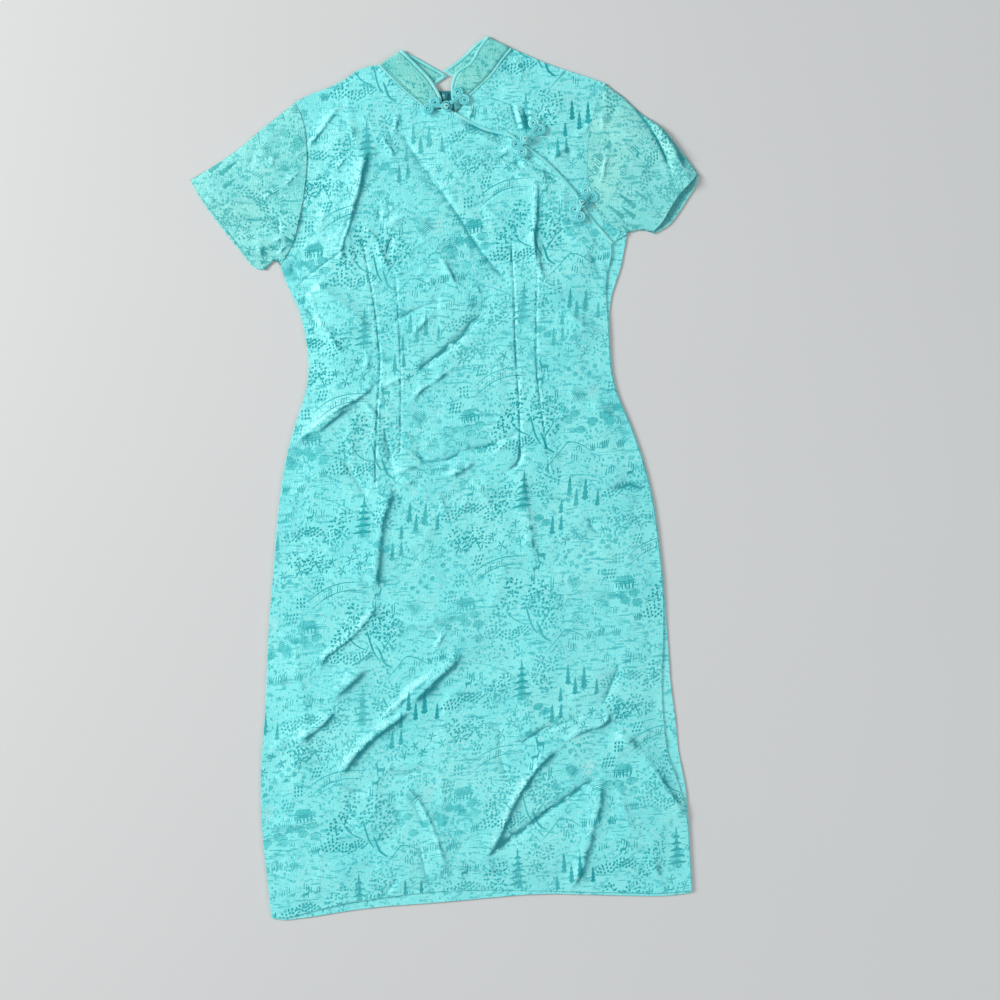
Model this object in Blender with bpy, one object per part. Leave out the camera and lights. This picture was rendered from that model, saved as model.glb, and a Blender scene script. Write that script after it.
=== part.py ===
"""Short-sleeved cheongsam, laid flat on its back with the front up.

The frame is in metres: +X to the right, +Y towards the collar and +Z up, with the origin
under the middle of the dress. The tables and the functions that read them are in millimetres.
Every panel is a thin wall: the back lies flat, and the front lies on it with its largest folds.
"""
import math
from collections import namedtuple

import bmesh
import bpy
from mathutils import Vector
from mathutils.geometry import delaunay_2d_cdt

MM = 0.001

# Cloth
WALL = 1.2                  # thickness of a panel
GAP = 0.3                   # clearance between two pieces that touch
CROWN = 2.0                 # how far the front lifts off the back between the seams
CROWN_REACH = 35.0          # distance from a seam over which it lifts
LAP_RISE = 2.4              # how far the front climbs to lie on the shoulder piece
LAP_WIDTH = 28.0            # hidden width of the shoulder piece under the front
LAP_RAMP = 14.0             # length over which the front climbs down again
LAP_EASE = 4.0              # share of that length kept level at the top

# Collar
COLLAR_WALL = 1.6
COLLAR_BACK_Z = 1.3         # middle of the back leaf's wall
COLLAR_FRONT_Z = 4.6        # middle of the front leaf's wall
FOLD_STEPS = 4

# Bindings and cords
BINDING_WIDTH = 4.0
BINDING_HALF_HEIGHT = 1.1
NECK_WIDTH = 3.0
SECTION_SIDES = 8

# Frogs
DISC_RADIUS = 6.4
CORD_HALF = 1.5
FROG_HEIGHT = 2.4
KNOT_RADIUS = 4.2
RING_INNER = 4.6
RING_OUTER = 7.0
RING_LIFT = 2.5
STEM_HEIGHT = 1.6

# Zip
ZIP_X = 5.5
ZIP_TOP = 479.0
ZIP_LENGTH = 536.0
TAPE_HALF = 11.0
CHAIN_HALF = 2.6
TAPE_HEIGHT = 0.7
CHAIN_HEIGHT = 1.2
CHAIN_START = 13.0          # from the top of the tape to the first tooth
CHAIN_FOOT = 0.4            # slope at the foot of the chain
SLIDER_START = 2.5          # from the top of the tape to the slider
SLIDER_HALF = 3.2
SLIDER_LENGTH = 8.5
SLIDER_HEIGHT = 2.0

# Mesh
GRID = 33.0                 # spacing of a panel's inner points
GRID_MARGIN = 11.0          # clearance of those points from the edges and the folds
EDGE_STEP = 17.0            # spacing of the points along an edge
FOLD_STEP = 20.0            # spacing of the points along a fold
SLEEVE_COLUMNS = 12
SLEEVE_ROWS = 8

# Linear colours
AQUA = (0.205, 0.73, 0.73)
AQUA_PALE = (0.25, 0.76, 0.70)
AQUA_GREEN = (0.33, 0.70, 0.58)
AQUA_CORD = (0.17, 0.62, 0.63)
AQUA_TAPE = (0.06, 0.42, 0.44)
ENAMEL = (0.065, 0.34, 0.37)

# Side edges, from under the arms to the hem. The back runs a little past the front at the right.
Side = namedtuple("Side", "y left front_right back_right")
SIDES = [
    Side(250, -203, 199.5, 214.5),
    Side(215, -189, 194.5, 201.5),
    Side(180, -182, 195, 196.5),
    Side(150, -180, 195, 196.5),
    Side(120, -183, 196, 197.5),
    Side(90, -193, 202, 203.5),
    Side(60, -204, 213, 214.5),
    Side(20, -216, 226, 227.5),
    Side(-40, -227, 239, 240.5),
    Side(-110, -236, 245.5, 247),
    Side(-165, -243.5, 247.5, 249.5),
    Side(-215, -248.5, 245.5, 251),
    Side(-270, -253, 241, 252),
    Side(-320, -259, 241, 256),
    Side(-360, -263.5, 244.5, 258),
    Side(-400, -265, 256, 264),
    Side(-440, -265, 264, 266),
    Side(-490, -262, 265.5, 266.5),
]
UNDERARM_LEFT = (-209.5, 271)
UNDERARM_RIGHT = (224, 290.5)

# Hem edges of the front and of the back, which shows a little below it
Hem = namedtuple("Hem", "x front back")
HEMS = [
    Hem(-259, -541, -543),
    Hem(-243, -543.8, -545.5),
    Hem(-200, -538, -542),
    Hem(-165, -532.5, -538),
    Hem(-120, -529.5, -534.5),
    Hem(-80, -526, -533.5),
    Hem(-25, -523.5, -531.5),
    Hem(64, -523, -528),
    Hem(120, -527, -530.5),
    Hem(225, -533.5, -537.5),
    Hem(266.5, -532, -535),
]

# Shoulder edges, from the neck to the top of the sleeve
SHOULDER_LEFT = [(-87, 514), (-104, 508.5), (-116, 500.5), (-137, 490.5), (-160, 483), (-181, 474)]
SHOULDER_RIGHT = [(107, 520.5), (125, 511.5), (149, 501), (176, 491), (206, 479)]

# Armhole seams, from the shoulder to the underarm
ARMHOLE_LEFT = [(-181, 474), (-172, 445), (-170, 415), (-172, 385), (-177, 355), (-184, 325),
                (-193, 298), (-209.5, 271)]
ARMHOLE_RIGHT = [(206, 479), (192, 449), (183, 418), (179, 385), (180, 355), (186, 328),
                 (199, 305), (224, 290.5)]

# Sleeves: the top fold, the cuff from the fold to the underarm seam, and that seam
SLEEVE_TOP_LEFT = [(-181, 474), (-202, 459), (-227, 441), (-254, 420), (-286, 400), (-317, 383)]
SLEEVE_CUFF_LEFT = [(-317, 383), (-305, 359), (-293, 340), (-279, 319.5), (-262, 296), (-243, 271),
                    (-229, 267)]
SLEEVE_UNDER_LEFT = [(-209.5, 271), (-214, 276), (-219, 276.5), (-229, 267)]
SLEEVE_TOP_RIGHT = [(206, 479), (229, 460), (249, 440), (275, 420), (291, 399), (305, 379),
                    (317.2, 360)]
SLEEVE_CUFF_RIGHT = [(317.2, 360), (312, 345), (302, 331), (290, 314), (277, 299), (258, 289)]
SLEEVE_UNDER_RIGHT = [(224, 290.5), (233, 293.5), (241, 294), (250, 292.5), (258, 289)]
CUFF_PULL_RIGHT = 12.0      # how far the front layer's cuff lies back from the back layer's

# Long soft mounds of a sleeve's front layer: place across, width, height at armhole and cuff
Mound = namedtuple("Mound", "across width armhole cuff")
MOUNDS_LEFT = [Mound(0.3, 0.25, 0.6, 1.4), Mound(0.72, 0.22, 1.6, 0.8)]
MOUNDS_RIGHT = [Mound(0.17, 0.17, 0.5, 3.6), Mound(0.6, 0.3, 1.2, 2.6)]

# Collar: stations from the front end to the shoulder fold, then on to the centre back end.
# Each has its neck edge and its top edge.
Station = namedtuple("Station", "neck_x neck_y top_x top_y")
COLLAR_LEFT_FRONT = [
    Station(-10, 455, 1, 459.5),
    Station(-19, 461, 1, 470),
    Station(-30, 471, -4, 482),
    Station(-42, 482, -13, 497),
    Station(-56, 497, -26, 512),
    Station(-73, 516.5, -45, 533.3),
]
COLLAR_LEFT_BACK = [
    Station(-58, 501, -26, 521.5),
    Station(-43, 490, -11, 512),
    Station(-29, 484, 1, 504.5),
    Station(-17, 481, 10, 498),
]
COLLAR_RIGHT_FRONT = [
    Station(25, 461, 14, 463.5),
    Station(32, 470, 13, 478),
    Station(42, 479, 15, 490),
    Station(54, 489, 21, 502),
    Station(66, 501, 38, 513),
    Station(76, 514, 50, 531),
    Station(89, 529.5, 61, 545.3),
]
COLLAR_RIGHT_BACK = [
    Station(72, 511, 45, 535),
    Station(57, 499, 31, 522),
    Station(42, 492, 17.5, 512),
    Station(28, 489, 4.5, 504.5),
]

BACK_SEAM_FOOT = -530.0     # lower end of the centre back seam

# Diagonal closing edge, from the centre front of the neck to the right side seam
CLOSING = [(17, 452), (54, 431), (84, 422), (96, 412), (127, 387), (160, 350), (179, 316),
           (207, 280)]
NECK_CENTRE = (2, 447.5)

# Largest folds of the front: a crest line through three points, its height and half width
Fold = namedtuple("Fold", "x1 y1 x2 y2 x3 y3 height half")
FOLDS = [
    Fold(-131, -241, -178, -280, -245, -340, 3.5, 13),
    Fold(3, -222, -60, -268, -163, -365, 6.5, 12),
    Fold(11, -480, 60, -394, 171, -315, 5.5, 13),
    Fold(30, -470, 85, -434, 160, -384, 4.0, 11),
    Fold(158, -400, 140, -455, 116, -510, 3.0, 11),
    Fold(184, -335, 216, -372, 248, -430, 3.5, 11),
    Fold(-76, -392, -52, -440, -42, -500, 3.0, 11),
    Fold(18, 184, -75, 123, -165, 68, 3.5, 13),
    Fold(92, 58, 25, 36, -36, 12, 5.0, 11),
    Fold(-153, 30, -128, 2, -104, -30, 3.5, 11),
    Fold(-84, 20, -80, -70, -108, -160, 4.0, 15),
    Fold(80, 20, 84, -60, 92, -140, 3.5, 14),
    Fold(-90, 400, -108, 350, -125, 285, 3.5, 12),
    Fold(-50, 405, -8, 355, 28, 300, 3.5, 12),
]


# Flat geometry

def lerp(a, b, t):
    return a + (b - a) * t


def smoothstep(t):
    t = min(1.0, max(0.0, t))
    return t * t * (3 - 2 * t)


def curve_point(a, b, c, d, t):
    """Catmull-Rom point between b and c."""
    return 0.5 * (2 * b + (c - a) * t + (2 * a - 5 * b + 4 * c - d) * t * t
                  + (3 * b - a - 3 * c + d) * t * t * t)


def curve(points, step=EDGE_STEP):
    """Smooth line through the points, with a point about every step."""
    points = [Vector(p) for p in points]
    padded = [2 * points[0] - points[1]] + points + [2 * points[-1] - points[-2]]
    line = []
    for a, b, c, d in zip(padded, padded[1:], padded[2:], padded[3:]):
        count = max(1, round((c - b).length / step))
        line += [curve_point(a, b, c, d, k / count) for k in range(count)]
    return line + [points[-1]]


def even(line, count):
    """count + 1 points spread evenly along the line."""
    lengths = [0.0]
    for a, b in zip(line, line[1:]):
        lengths.append(lengths[-1] + (b - a).length)
    result = []
    span = 0
    for k in range(count + 1):
        target = lengths[-1] * k / count
        while span < len(line) - 2 and lengths[span + 1] < target:
            span += 1
        t = (target - lengths[span]) / (lengths[span + 1] - lengths[span])
        result.append(line[span].lerp(line[span + 1], min(1.0, t)))
    return result


def shifted(line, distance):
    """The line moved sideways, to the left of its direction."""
    result = []
    last = len(line) - 1
    for i, p in enumerate(line):
        along = (line[min(i + 1, last)] - line[max(i - 1, 0)]).normalized()
        result.append(p + Vector((-along.y, along.x)) * distance)
    return result


def segment_distance(p, a, b):
    along = b - a
    t = min(1.0, max(0.0, (p - a).dot(along) / along.dot(along)))
    return (p - a - along * t).length


def line_distance(p, line):
    return min(segment_distance(p, a, b) for a, b in zip(line, line[1:]))


def inside(p, loop):
    result = False
    for a, b in zip(loop, loop[1:] + loop[:1]):
        if (a.y > p.y) != (b.y > p.y):
            if p.x < a.x + (b.x - a.x) * (p.y - a.y) / (b.y - a.y):
                result = not result
    return result


# Edges of the panels

LEFT_EDGE = curve([UNDERARM_LEFT] + [(s.left, s.y) for s in SIDES] + [(-259, -541)])
RIGHT_EDGE = curve([CLOSING[-1]] + [(s.front_right, s.y) for s in SIDES] + [(266, -532)])
BACK_RIGHT_EDGE = curve([UNDERARM_RIGHT] + [(s.back_right, s.y) for s in SIDES] + [(266.5, -535)])
FRONT_HEM = curve([(h.x, h.front) for h in HEMS], 24)
BACK_HEM = curve([(h.x, h.back) for h in HEMS], 24)
ARM_LEFT = even(curve(ARMHOLE_LEFT), SLEEVE_COLUMNS)
ARM_RIGHT = even(curve(ARMHOLE_RIGHT), SLEEVE_COLUMNS)
SHOULDERS = [curve(SHOULDER_LEFT, 30), curve(SHOULDER_RIGHT, 30)]
SEAM_LINES = [LEFT_EDGE, RIGHT_EDGE, FRONT_HEM, ARM_LEFT, ARM_RIGHT] + SHOULDERS
CLOSING_LINE = curve(CLOSING, 12)
FOLD_LINES = [curve([(f.x1, f.y1), (f.x2, f.y2), (f.x3, f.y3)], FOLD_STEP) for f in FOLDS]


# Heights

def fold_height(p):
    height = 0.0
    for fold, line in zip(FOLDS, FOLD_LINES):
        away = line_distance(p, line) / fold.half
        if away < 1.0:
            ends = min((p - line[0]).length, (p - line[-1]).length)
            height = max(height, fold.height * math.cos(away * math.pi / 2) ** 2
                         * smoothstep(ends / (2.0 * fold.half)))
    return height


def cloth_bottom(p):
    """Underside of the layer that lies on the back."""
    away = min(line_distance(p, line) for line in SEAM_LINES)
    return WALL + GAP + CROWN * smoothstep(away / CROWN_REACH)


def front_bottom(p):
    """Underside of the front, which climbs onto the shoulder piece along the closing."""
    away = line_distance(p, CLOSING_LINE)
    lap = smoothstep((LAP_WIDTH + LAP_RAMP - away) / (LAP_RAMP - LAP_EASE))
    return cloth_bottom(p) + LAP_RISE * lap + fold_height(p)


def front_top(p):
    return front_bottom(p) + WALL


def yoke_bottom(p):
    return cloth_bottom(p)


def yoke_top(p):
    return yoke_bottom(p) + WALL


def level(height):
    return lambda p: height


# Solids

def material(name, colour, roughness=0.42, metallic=0.0):
    made = bpy.data.materials.new(name)
    made.use_nodes = True
    shader = made.node_tree.nodes["Principled BSDF"]
    shader.inputs["Base Color"].default_value = (*colour, 1)
    shader.inputs["Roughness"].default_value = roughness
    shader.inputs["Metallic"].default_value = metallic
    made.diffuse_color = (*colour, 1)
    return made


def solid(name, points, faces, colour, **finish):
    """One closed body from points in millimetres."""
    mesh = bpy.data.meshes.new(name)
    mesh.from_pydata([Vector(p) * MM for p in points], [], faces)
    body = bmesh.new()
    body.from_mesh(mesh)
    bmesh.ops.recalc_face_normals(body, faces=body.faces)
    bmesh.ops.triangulate(body, faces=body.faces)
    body.to_mesh(mesh)
    body.free()
    mesh.materials.append(material(name, colour, **finish))
    made = bpy.data.objects.new(name, mesh)
    bpy.context.scene.collection.objects.link(made)
    return made


def slab(name, loops, extra, keep, low, high, colour, **finish):
    """A wall between two heights, over the part of the plan that keep accepts."""
    points = []
    edges = []
    for loop in loops:
        start = len(points)
        points += [Vector(p) for p in loop]
        edges += [(start + i, start + (i + 1) % len(loop)) for i in range(len(loop))]
    points += [Vector(p) for p in extra]
    plan, _, triangles, *_ = delaunay_2d_cdt(points, edges, [], 0, 1e-4)
    kept = [t for t in triangles if keep(sum((plan[i] for i in t), Vector((0, 0))) / 3)]
    used = sorted({i for t in kept for i in t})
    rank = {old: new for new, old in enumerate(used)}
    count = len(used)
    bottom = [(plan[i].x, plan[i].y, low(plan[i])) for i in used]
    top = [(plan[i].x, plan[i].y, high(plan[i])) for i in used]
    faces = []
    sides = set()
    for t in kept:
        a, b, c = (rank[i] for i in t)
        faces += [(a + count, b + count, c + count), (c, b, a)]
        sides |= {(a, b), (b, c), (c, a)}
    faces += [(a, b, b + count, a + count) for a, b in sorted(sides) if (b, a) not in sides]
    return solid(name, bottom + top, faces, colour, **finish)


def panel(name, outline, extra, low, high, colour, lines=(), **finish):
    loops = [outline] + list(lines)
    return slab(name, loops, extra, lambda p: inside(p, outline), low, high, colour, **finish)


def rings(name, sections, colour, closed_ends=True, **finish):
    """A body lofted through sections with equal numbers of points, round a loop."""
    size = len(sections[0])
    points = [p for section in sections for p in section]
    faces = []
    for row in range(len(sections) - 1):
        for k in range(size):
            a = row * size + k
            b = row * size + (k + 1) % size
            faces.append((a, b, b + size, a + size))
    if closed_ends:
        faces += [tuple(range(size))[::-1], tuple(range(len(points) - size, len(points)))]
    return solid(name, points, faces, colour, **finish)


# Panels

def fold_points(outline):
    """Crest and foot points of the folds that lie within the outline."""
    points = []
    for fold, line in zip(FOLDS, FOLD_LINES):
        for side in (0.0, -fold.half, fold.half, -0.5 * fold.half, 0.5 * fold.half):
            points += shifted(line, side) if side else line
    kept = []
    for p in points:
        clear = all((p - q).length > 5.0 for q in kept)
        if clear and inside(p, outline) and line_distance(p, outline + outline[:1]) > 6.0:
            kept.append(p)
    return kept


def grid_points(outline, others):
    """Staggered grid inside the outline, clear of its edge and of the other points."""
    low_x = min(p.x for p in outline)
    low_y = min(p.y for p in outline)
    high_x = max(p.x for p in outline)
    high_y = max(p.y for p in outline)
    rows = int((high_y - low_y) / GRID)
    columns = int((high_x - low_x) / GRID) + 1
    points = []
    for row in range(rows + 1):
        for column in range(columns):
            x = low_x + GRID * (column + 0.5 * (row % 2))
            p = Vector((x, low_y + GRID * row))
            clear = all((p - q).length > GRID_MARGIN for q in others)
            if clear and inside(p, outline) and line_distance(p, outline + outline[:1]) > GRID_MARGIN:
                points.append(p)
    return points


def neck_line(stations):
    """Panel edge at the neck seam, which leaves room for the piping."""
    line = []
    for s in stations:
        neck = Vector((s.neck_x, s.neck_y))
        across = (Vector((s.top_x, s.top_y)) - neck).normalized()
        line.append(neck - across * (NECK_WIDTH + 3 * GAP))
    return line


def make_front():
    neck = neck_line(COLLAR_LEFT_FRONT)
    closing = shifted(CLOSING_LINE, -(BINDING_WIDTH + GAP))
    outline = [Vector(NECK_CENTRE)] + neck + SHOULDERS[0][:-1] + ARM_LEFT[:-1] + LEFT_EDGE[:-1]
    outline += FRONT_HEM[:-1] + RIGHT_EDGE[::-1][:-1] + closing[::-1]
    ramp = shifted(CLOSING_LINE, -(LAP_WIDTH + 0.75 * LAP_EASE))
    ramp += shifted(CLOSING_LINE, -(LAP_WIDTH + LAP_RAMP))[::-1]
    creases = [p for p in fold_points(outline) if line_distance(p, ramp) > 5.0]
    extra = creases + grid_points(outline, creases + ramp)
    panel("front", outline, extra, front_bottom, front_top, AQUA, lines=[ramp])


def make_yoke():
    neck = neck_line(COLLAR_RIGHT_FRONT)
    under = shifted(CLOSING_LINE, -LAP_WIDTH)
    side = [Vector((198, 261)), Vector((206, 279))]
    outline = neck[::-1] + [Vector((22, 453))] + under[:-1] + side
    outline += ARM_RIGHT[::-1][:-1] + SHOULDERS[1][::-1]
    panel("front_yoke", outline, grid_points(outline, []), yoke_bottom, yoke_top, AQUA)


def make_backs():
    neck_left = neck_line(COLLAR_LEFT_FRONT[-1:] + COLLAR_LEFT_BACK)
    neck_right = neck_line(COLLAR_RIGHT_FRONT[-1:] + COLLAR_RIGHT_BACK)
    left_x = ZIP_X - 0.5 * GAP
    right_x = ZIP_X + 0.5 * GAP
    hem_left = [p for p in BACK_HEM if p.x < left_x - 4]
    hem_right = [p for p in BACK_HEM if p.x > right_x + 4]
    left = neck_left[::-1] + SHOULDERS[0][:-1] + ARM_LEFT[:-1] + LEFT_EDGE[:-1] + hem_left
    left += [Vector((left_x, BACK_SEAM_FOOT)), Vector((left_x, 430)), Vector((-1, 452)), Vector((-11, 470))]
    right = neck_right + [Vector((20, 472)), Vector((11, 452)), Vector((right_x, 430))]
    right += [Vector((right_x, BACK_SEAM_FOOT))] + hem_right + BACK_RIGHT_EDGE[::-1][1:-1]
    right += ARM_RIGHT[::-1][:-1] + SHOULDERS[1][::-1]
    panel("back_left", left, [], level(0.0), level(WALL), AQUA)
    panel("back_right", right, [], level(0.0), level(WALL), AQUA)


# Sleeves

def patch_point(armhole, cuff, top, under, i, j):
    """Point of the surface spanned by a sleeve's four edges."""
    u = i / SLEEVE_COLUMNS
    s = j / SLEEVE_ROWS
    across = armhole[i] * (1 - s) + cuff[i] * s
    along = top[j] * (1 - u) + under[j] * u
    corners = (armhole[0] * (1 - s) + cuff[0] * s) * (1 - u)
    corners += (armhole[-1] * (1 - s) + cuff[-1] * s) * u
    return across + along - corners


def sleeve_section(patch, row, mounds, pull, outer):
    """One ring of a sleeve: across the front layer, then back under it."""
    s = row / SLEEVE_ROWS
    last = SLEEVE_COLUMNS
    front = []
    back = []
    for i in range(last + 1):
        u = i / last
        q = patch[row][i]
        p = q.copy()
        if 0 < i < last:
            towards = (patch[max(row - 1, 0)][i] - patch[min(row + 1, SLEEVE_ROWS)][i]).normalized()
            p += towards * pull * math.sin(math.pi * u) ** 0.6 * smoothstep(2 * s - 1)
        height = 2 * WALL + GAP
        for mound in mounds:
            away = (u - mound.across) / mound.width
            if abs(away) < 1:
                height += lerp(mound.armhole, mound.cuff, s) * math.cos(away * math.pi / 2) ** 2
        if outer:
            front.append((p.x, p.y, height))
            back.append((q.x, q.y, 0.0))
        else:
            inwards = Vector((0, 0))
            if i == 0:
                inwards = (patch[row][1] - patch[row][0]).normalized() * WALL
            if i == last:
                inwards = (patch[row][-2] - patch[row][-1]).normalized() * WALL
            front.append((p.x + inwards.x, p.y + inwards.y, height - WALL))
            back.append((q.x + inwards.x, q.y + inwards.y, WALL))
    return front + back[::-1]


def make_sleeve(name, arm, cuff, top, under, mounds, pull, away):
    armhole = shifted(arm, away * GAP)
    cuff = even(curve(cuff), SLEEVE_COLUMNS)
    top = even([armhole[0]] + curve(top)[1:], SLEEVE_ROWS)
    under = even([armhole[-1]] + curve(under, 4)[1:], SLEEVE_ROWS)
    patch = [[patch_point(armhole, cuff, top, under, i, j) for i in range(SLEEVE_COLUMNS + 1)]
             for j in range(SLEEVE_ROWS + 1)]
    rows = range(SLEEVE_ROWS + 1)
    outer = [sleeve_section(patch, row, mounds, pull, True) for row in rows]
    inner = [sleeve_section(patch, row, mounds, pull, False) for row in rows]
    loop = outer + inner[::-1]
    rings(name, loop + loop[:1], AQUA_PALE, closed_ends=False)


# Collar

Edge = namedtuple("Edge", "neck top across normal")


def collar_edges(front, back, outward_sign):
    """Stations of a collar half: front leaf, the turn at the shoulder, then the back leaf."""
    up = Vector((0, 0, 1))
    radius = 0.5 * (COLLAR_FRONT_Z - COLLAR_BACK_Z)
    middle = 0.5 * (COLLAR_FRONT_Z + COLLAR_BACK_Z)
    edges = []

    def add(station, z, normal, offset):
        neck = Vector((station.neck_x, station.neck_y, z)) + offset
        top = Vector((station.top_x, station.top_y, z)) + offset
        edges.append(Edge(neck, top, (top - neck).normalized(), normal))

    for station in front[:-1]:
        add(station, COLLAR_FRONT_Z, up, Vector((0, 0, 0)))
    fold = front[-1]
    along = Vector((fold.top_x - fold.neck_x, fold.top_y - fold.neck_y, 0)).normalized()
    outward = Vector((-along.y, along.x, 0)) * outward_sign
    inset = outward * (radius + 0.5 * COLLAR_WALL)
    for step in range(FOLD_STEPS + 1):
        angle = math.pi * step / FOLD_STEPS
        normal = outward * math.sin(angle) + up * math.cos(angle)
        add(fold, middle + radius * math.cos(angle), normal,
            outward * (radius * math.sin(angle)) - inset)
    for station in back:
        add(station, COLLAR_BACK_Z, -up, Vector((0, 0, 0)))
    return edges


def make_collar(side, front, back, outward_sign):
    edges = collar_edges(front, back, outward_sign)
    half = 0.5 * COLLAR_WALL
    trim = BINDING_WIDTH + GAP
    end = edges[-1]
    along = end.top - edges[-2].top
    outward = (along - end.across * along.dot(end.across)).normalized()
    bands = []
    for e in edges:
        inset = outward * trim if e is end else Vector((0, 0, 0))
        neck = e.neck - inset
        top = e.top - e.across * trim - inset
        bands.append([neck + e.normal * half, top + e.normal * half,
                      top - e.normal * half, neck - e.normal * half])
    rings("collar_" + side, bands, AQUA_GREEN)

    oval = BINDING_WIDTH / 2
    line = [(e.top - e.across * oval, e.across * oval, e.normal) for e in edges[:-1]]
    mitre = (end.across + outward) * oval
    line.append((end.top - mitre, mitre, end.normal))
    line.append((end.neck - outward * oval, outward * oval, end.normal))
    cord("collar_piping_" + side, line)

    oval = NECK_WIDTH / 2
    line = [(e.neck - e.across * (GAP + oval), e.across * oval, e.normal) for e in edges]
    cord("neck_piping_" + side, line)


def cord(name, line):
    """Oval cord along a line of centres, each with its half width across and its normal."""
    sections = []
    for centre, across, normal in line:
        section = []
        for k in range(SECTION_SIDES):
            angle = 2 * math.pi * k / SECTION_SIDES
            section.append(centre + across * math.cos(angle)
                           + normal * BINDING_HALF_HEIGHT * math.sin(angle))
        sections.append(section)
    rings(name, sections, AQUA_CORD)


def make_closing():
    """Binding on the front's diagonal edge."""
    oval = BINDING_WIDTH / 2
    middle = shifted(CLOSING_LINE, -oval)
    edge = shifted(CLOSING_LINE, -(BINDING_WIDTH + GAP))
    up = Vector((0, 0, 1))
    line = []
    for p, inner in zip(middle, edge):
        across = (p - inner).normalized() * oval
        z = front_bottom(inner) + 0.5 * WALL + 0.3
        line.append((Vector((p.x, p.y, z)), Vector((across.x, across.y, 0)), up))
    cord("closing_piping", line)


# Frogs

def circle(centre, radius, sides=14):
    return [Vector((centre[0] + radius * math.cos(2 * math.pi * k / sides),
                    centre[1] + radius * math.sin(2 * math.pi * k / sides))) for k in range(sides)]


def strip(a, b, half):
    across = (b - a).normalized()
    across = Vector((-across.y, across.x)) * half
    return [a + across, a - across, b - across, b + across]


def frog_rest(discs, surface):
    """Height at which a frog's discs rest on the cloth."""
    rims = [p for disc in discs for p in circle(disc, DISC_RADIUS)]
    return max(surface(p) for p in rims) + GAP


def make_frog(name, loop_discs, knot_at, knot_discs, base):
    loop_discs = [Vector(p) for p in loop_discs]
    knot_discs = [Vector(p) for p in knot_discs]
    knot_at = Vector(knot_at)
    loop_mid = (loop_discs[0] + loop_discs[1]) / 2
    knot_mid = (knot_discs[0] + knot_discs[1]) / 2
    towards = (knot_at - loop_mid).normalized()
    ring_side = knot_at - towards * (0.5 * (RING_INNER + RING_OUTER))

    def loop_low(p):
        away = (p - knot_at).length
        return base(p) + RING_LIFT * smoothstep((RING_OUTER + 4.5 - away) / 4.0)

    def knot_high(p):
        away = (p - knot_at).length
        steps = [(0.0, 6.2), (2.6, 5.4), (3.8, 3.6), (KNOT_RADIUS, STEM_HEIGHT),
                 (RING_OUTER + 1.0, STEM_HEIGHT), (RING_OUTER + 3.0, FROG_HEIGHT)]
        for (r1, h1), (r2, h2) in zip(steps, steps[1:]):
            if away <= r2:
                return base(p) + lerp(h1, h2, (away - r1) / (r2 - r1))
        return base(p) + FROG_HEIGHT

    ring = [circle(knot_at, RING_OUTER, 18), circle(knot_at, RING_INNER, 18)]
    loops = [circle(p, DISC_RADIUS) for p in loop_discs]
    loops += [strip(loop_discs[0], loop_discs[1], CORD_HALF), strip(loop_mid, ring_side, CORD_HALF)]
    slab(name + "_loop", ring + loops, [],
         lambda p: (any(inside(p, loop) for loop in loops) and not inside(p, ring[1])
                    or inside(p, ring[0]) and not inside(p, ring[1])),
         loop_low, lambda p: loop_low(p) + FROG_HEIGHT, AQUA_CORD)

    loops = [circle(p, DISC_RADIUS) for p in knot_discs] + [circle(knot_at, KNOT_RADIUS)]
    loops += [strip(knot_discs[0], knot_discs[1], CORD_HALF), strip(knot_mid, knot_at, CORD_HALF)]
    domes = [circle(knot_at, 3.8), circle(knot_at, 2.6, 10)]
    slab(name + "_knot", loops + domes, [knot_at],
         lambda p: any(inside(p, loop) for loop in loops), base, knot_high, AQUA_CORD)


def closing_side(p):
    """Distance outside the diagonal closing edge, less than 0 on the front's side."""
    nearest = min(zip(CLOSING_LINE, CLOSING_LINE[1:]), key=lambda s: segment_distance(p, *s))
    along = nearest[1] - nearest[0]
    away = segment_distance(p, *nearest)
    return math.copysign(away, along.x * (p.y - nearest[0].y) - along.y * (p.x - nearest[0].x))


def make_frogs():
    neck = [[(22, 476), (30.5, 467)], (7, 459), [(-6, 465.5), (-14, 457.5)]]
    collar_rest = COLLAR_FRONT_Z + BINDING_HALF_HEIGHT + GAP
    make_frog("frog_neck", *neck, level(max(collar_rest, frog_rest(neck[2], front_top))))
    chest = [[(115, 433), (122.5, 424)], (103, 414), [(90, 407), (98, 397.5)]]
    side = [[(176.5, 346.5), (184, 337.5)], (170, 332), [(160.5, 323), (168, 313.5)]]
    sleeve_rest = 2 * (WALL + GAP) + 1.3 * max(mound.armhole for mound in MOUNDS_RIGHT)
    for name, (loop_discs, knot_at, knot_discs) in (("frog_chest", chest), ("frog_side", side)):
        low = max(frog_rest(loop_discs, yoke_top), sleeve_rest)
        high = frog_rest(knot_discs + [knot_at], front_top) + BINDING_HALF_HEIGHT

        def base(p, low=low, high=high):
            return lerp(high, low, min(1.0, max(0.0, (closing_side(p) - 3.0) / 11.0)))

        make_frog(name, loop_discs, knot_at, knot_discs, base)


# Zip

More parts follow.
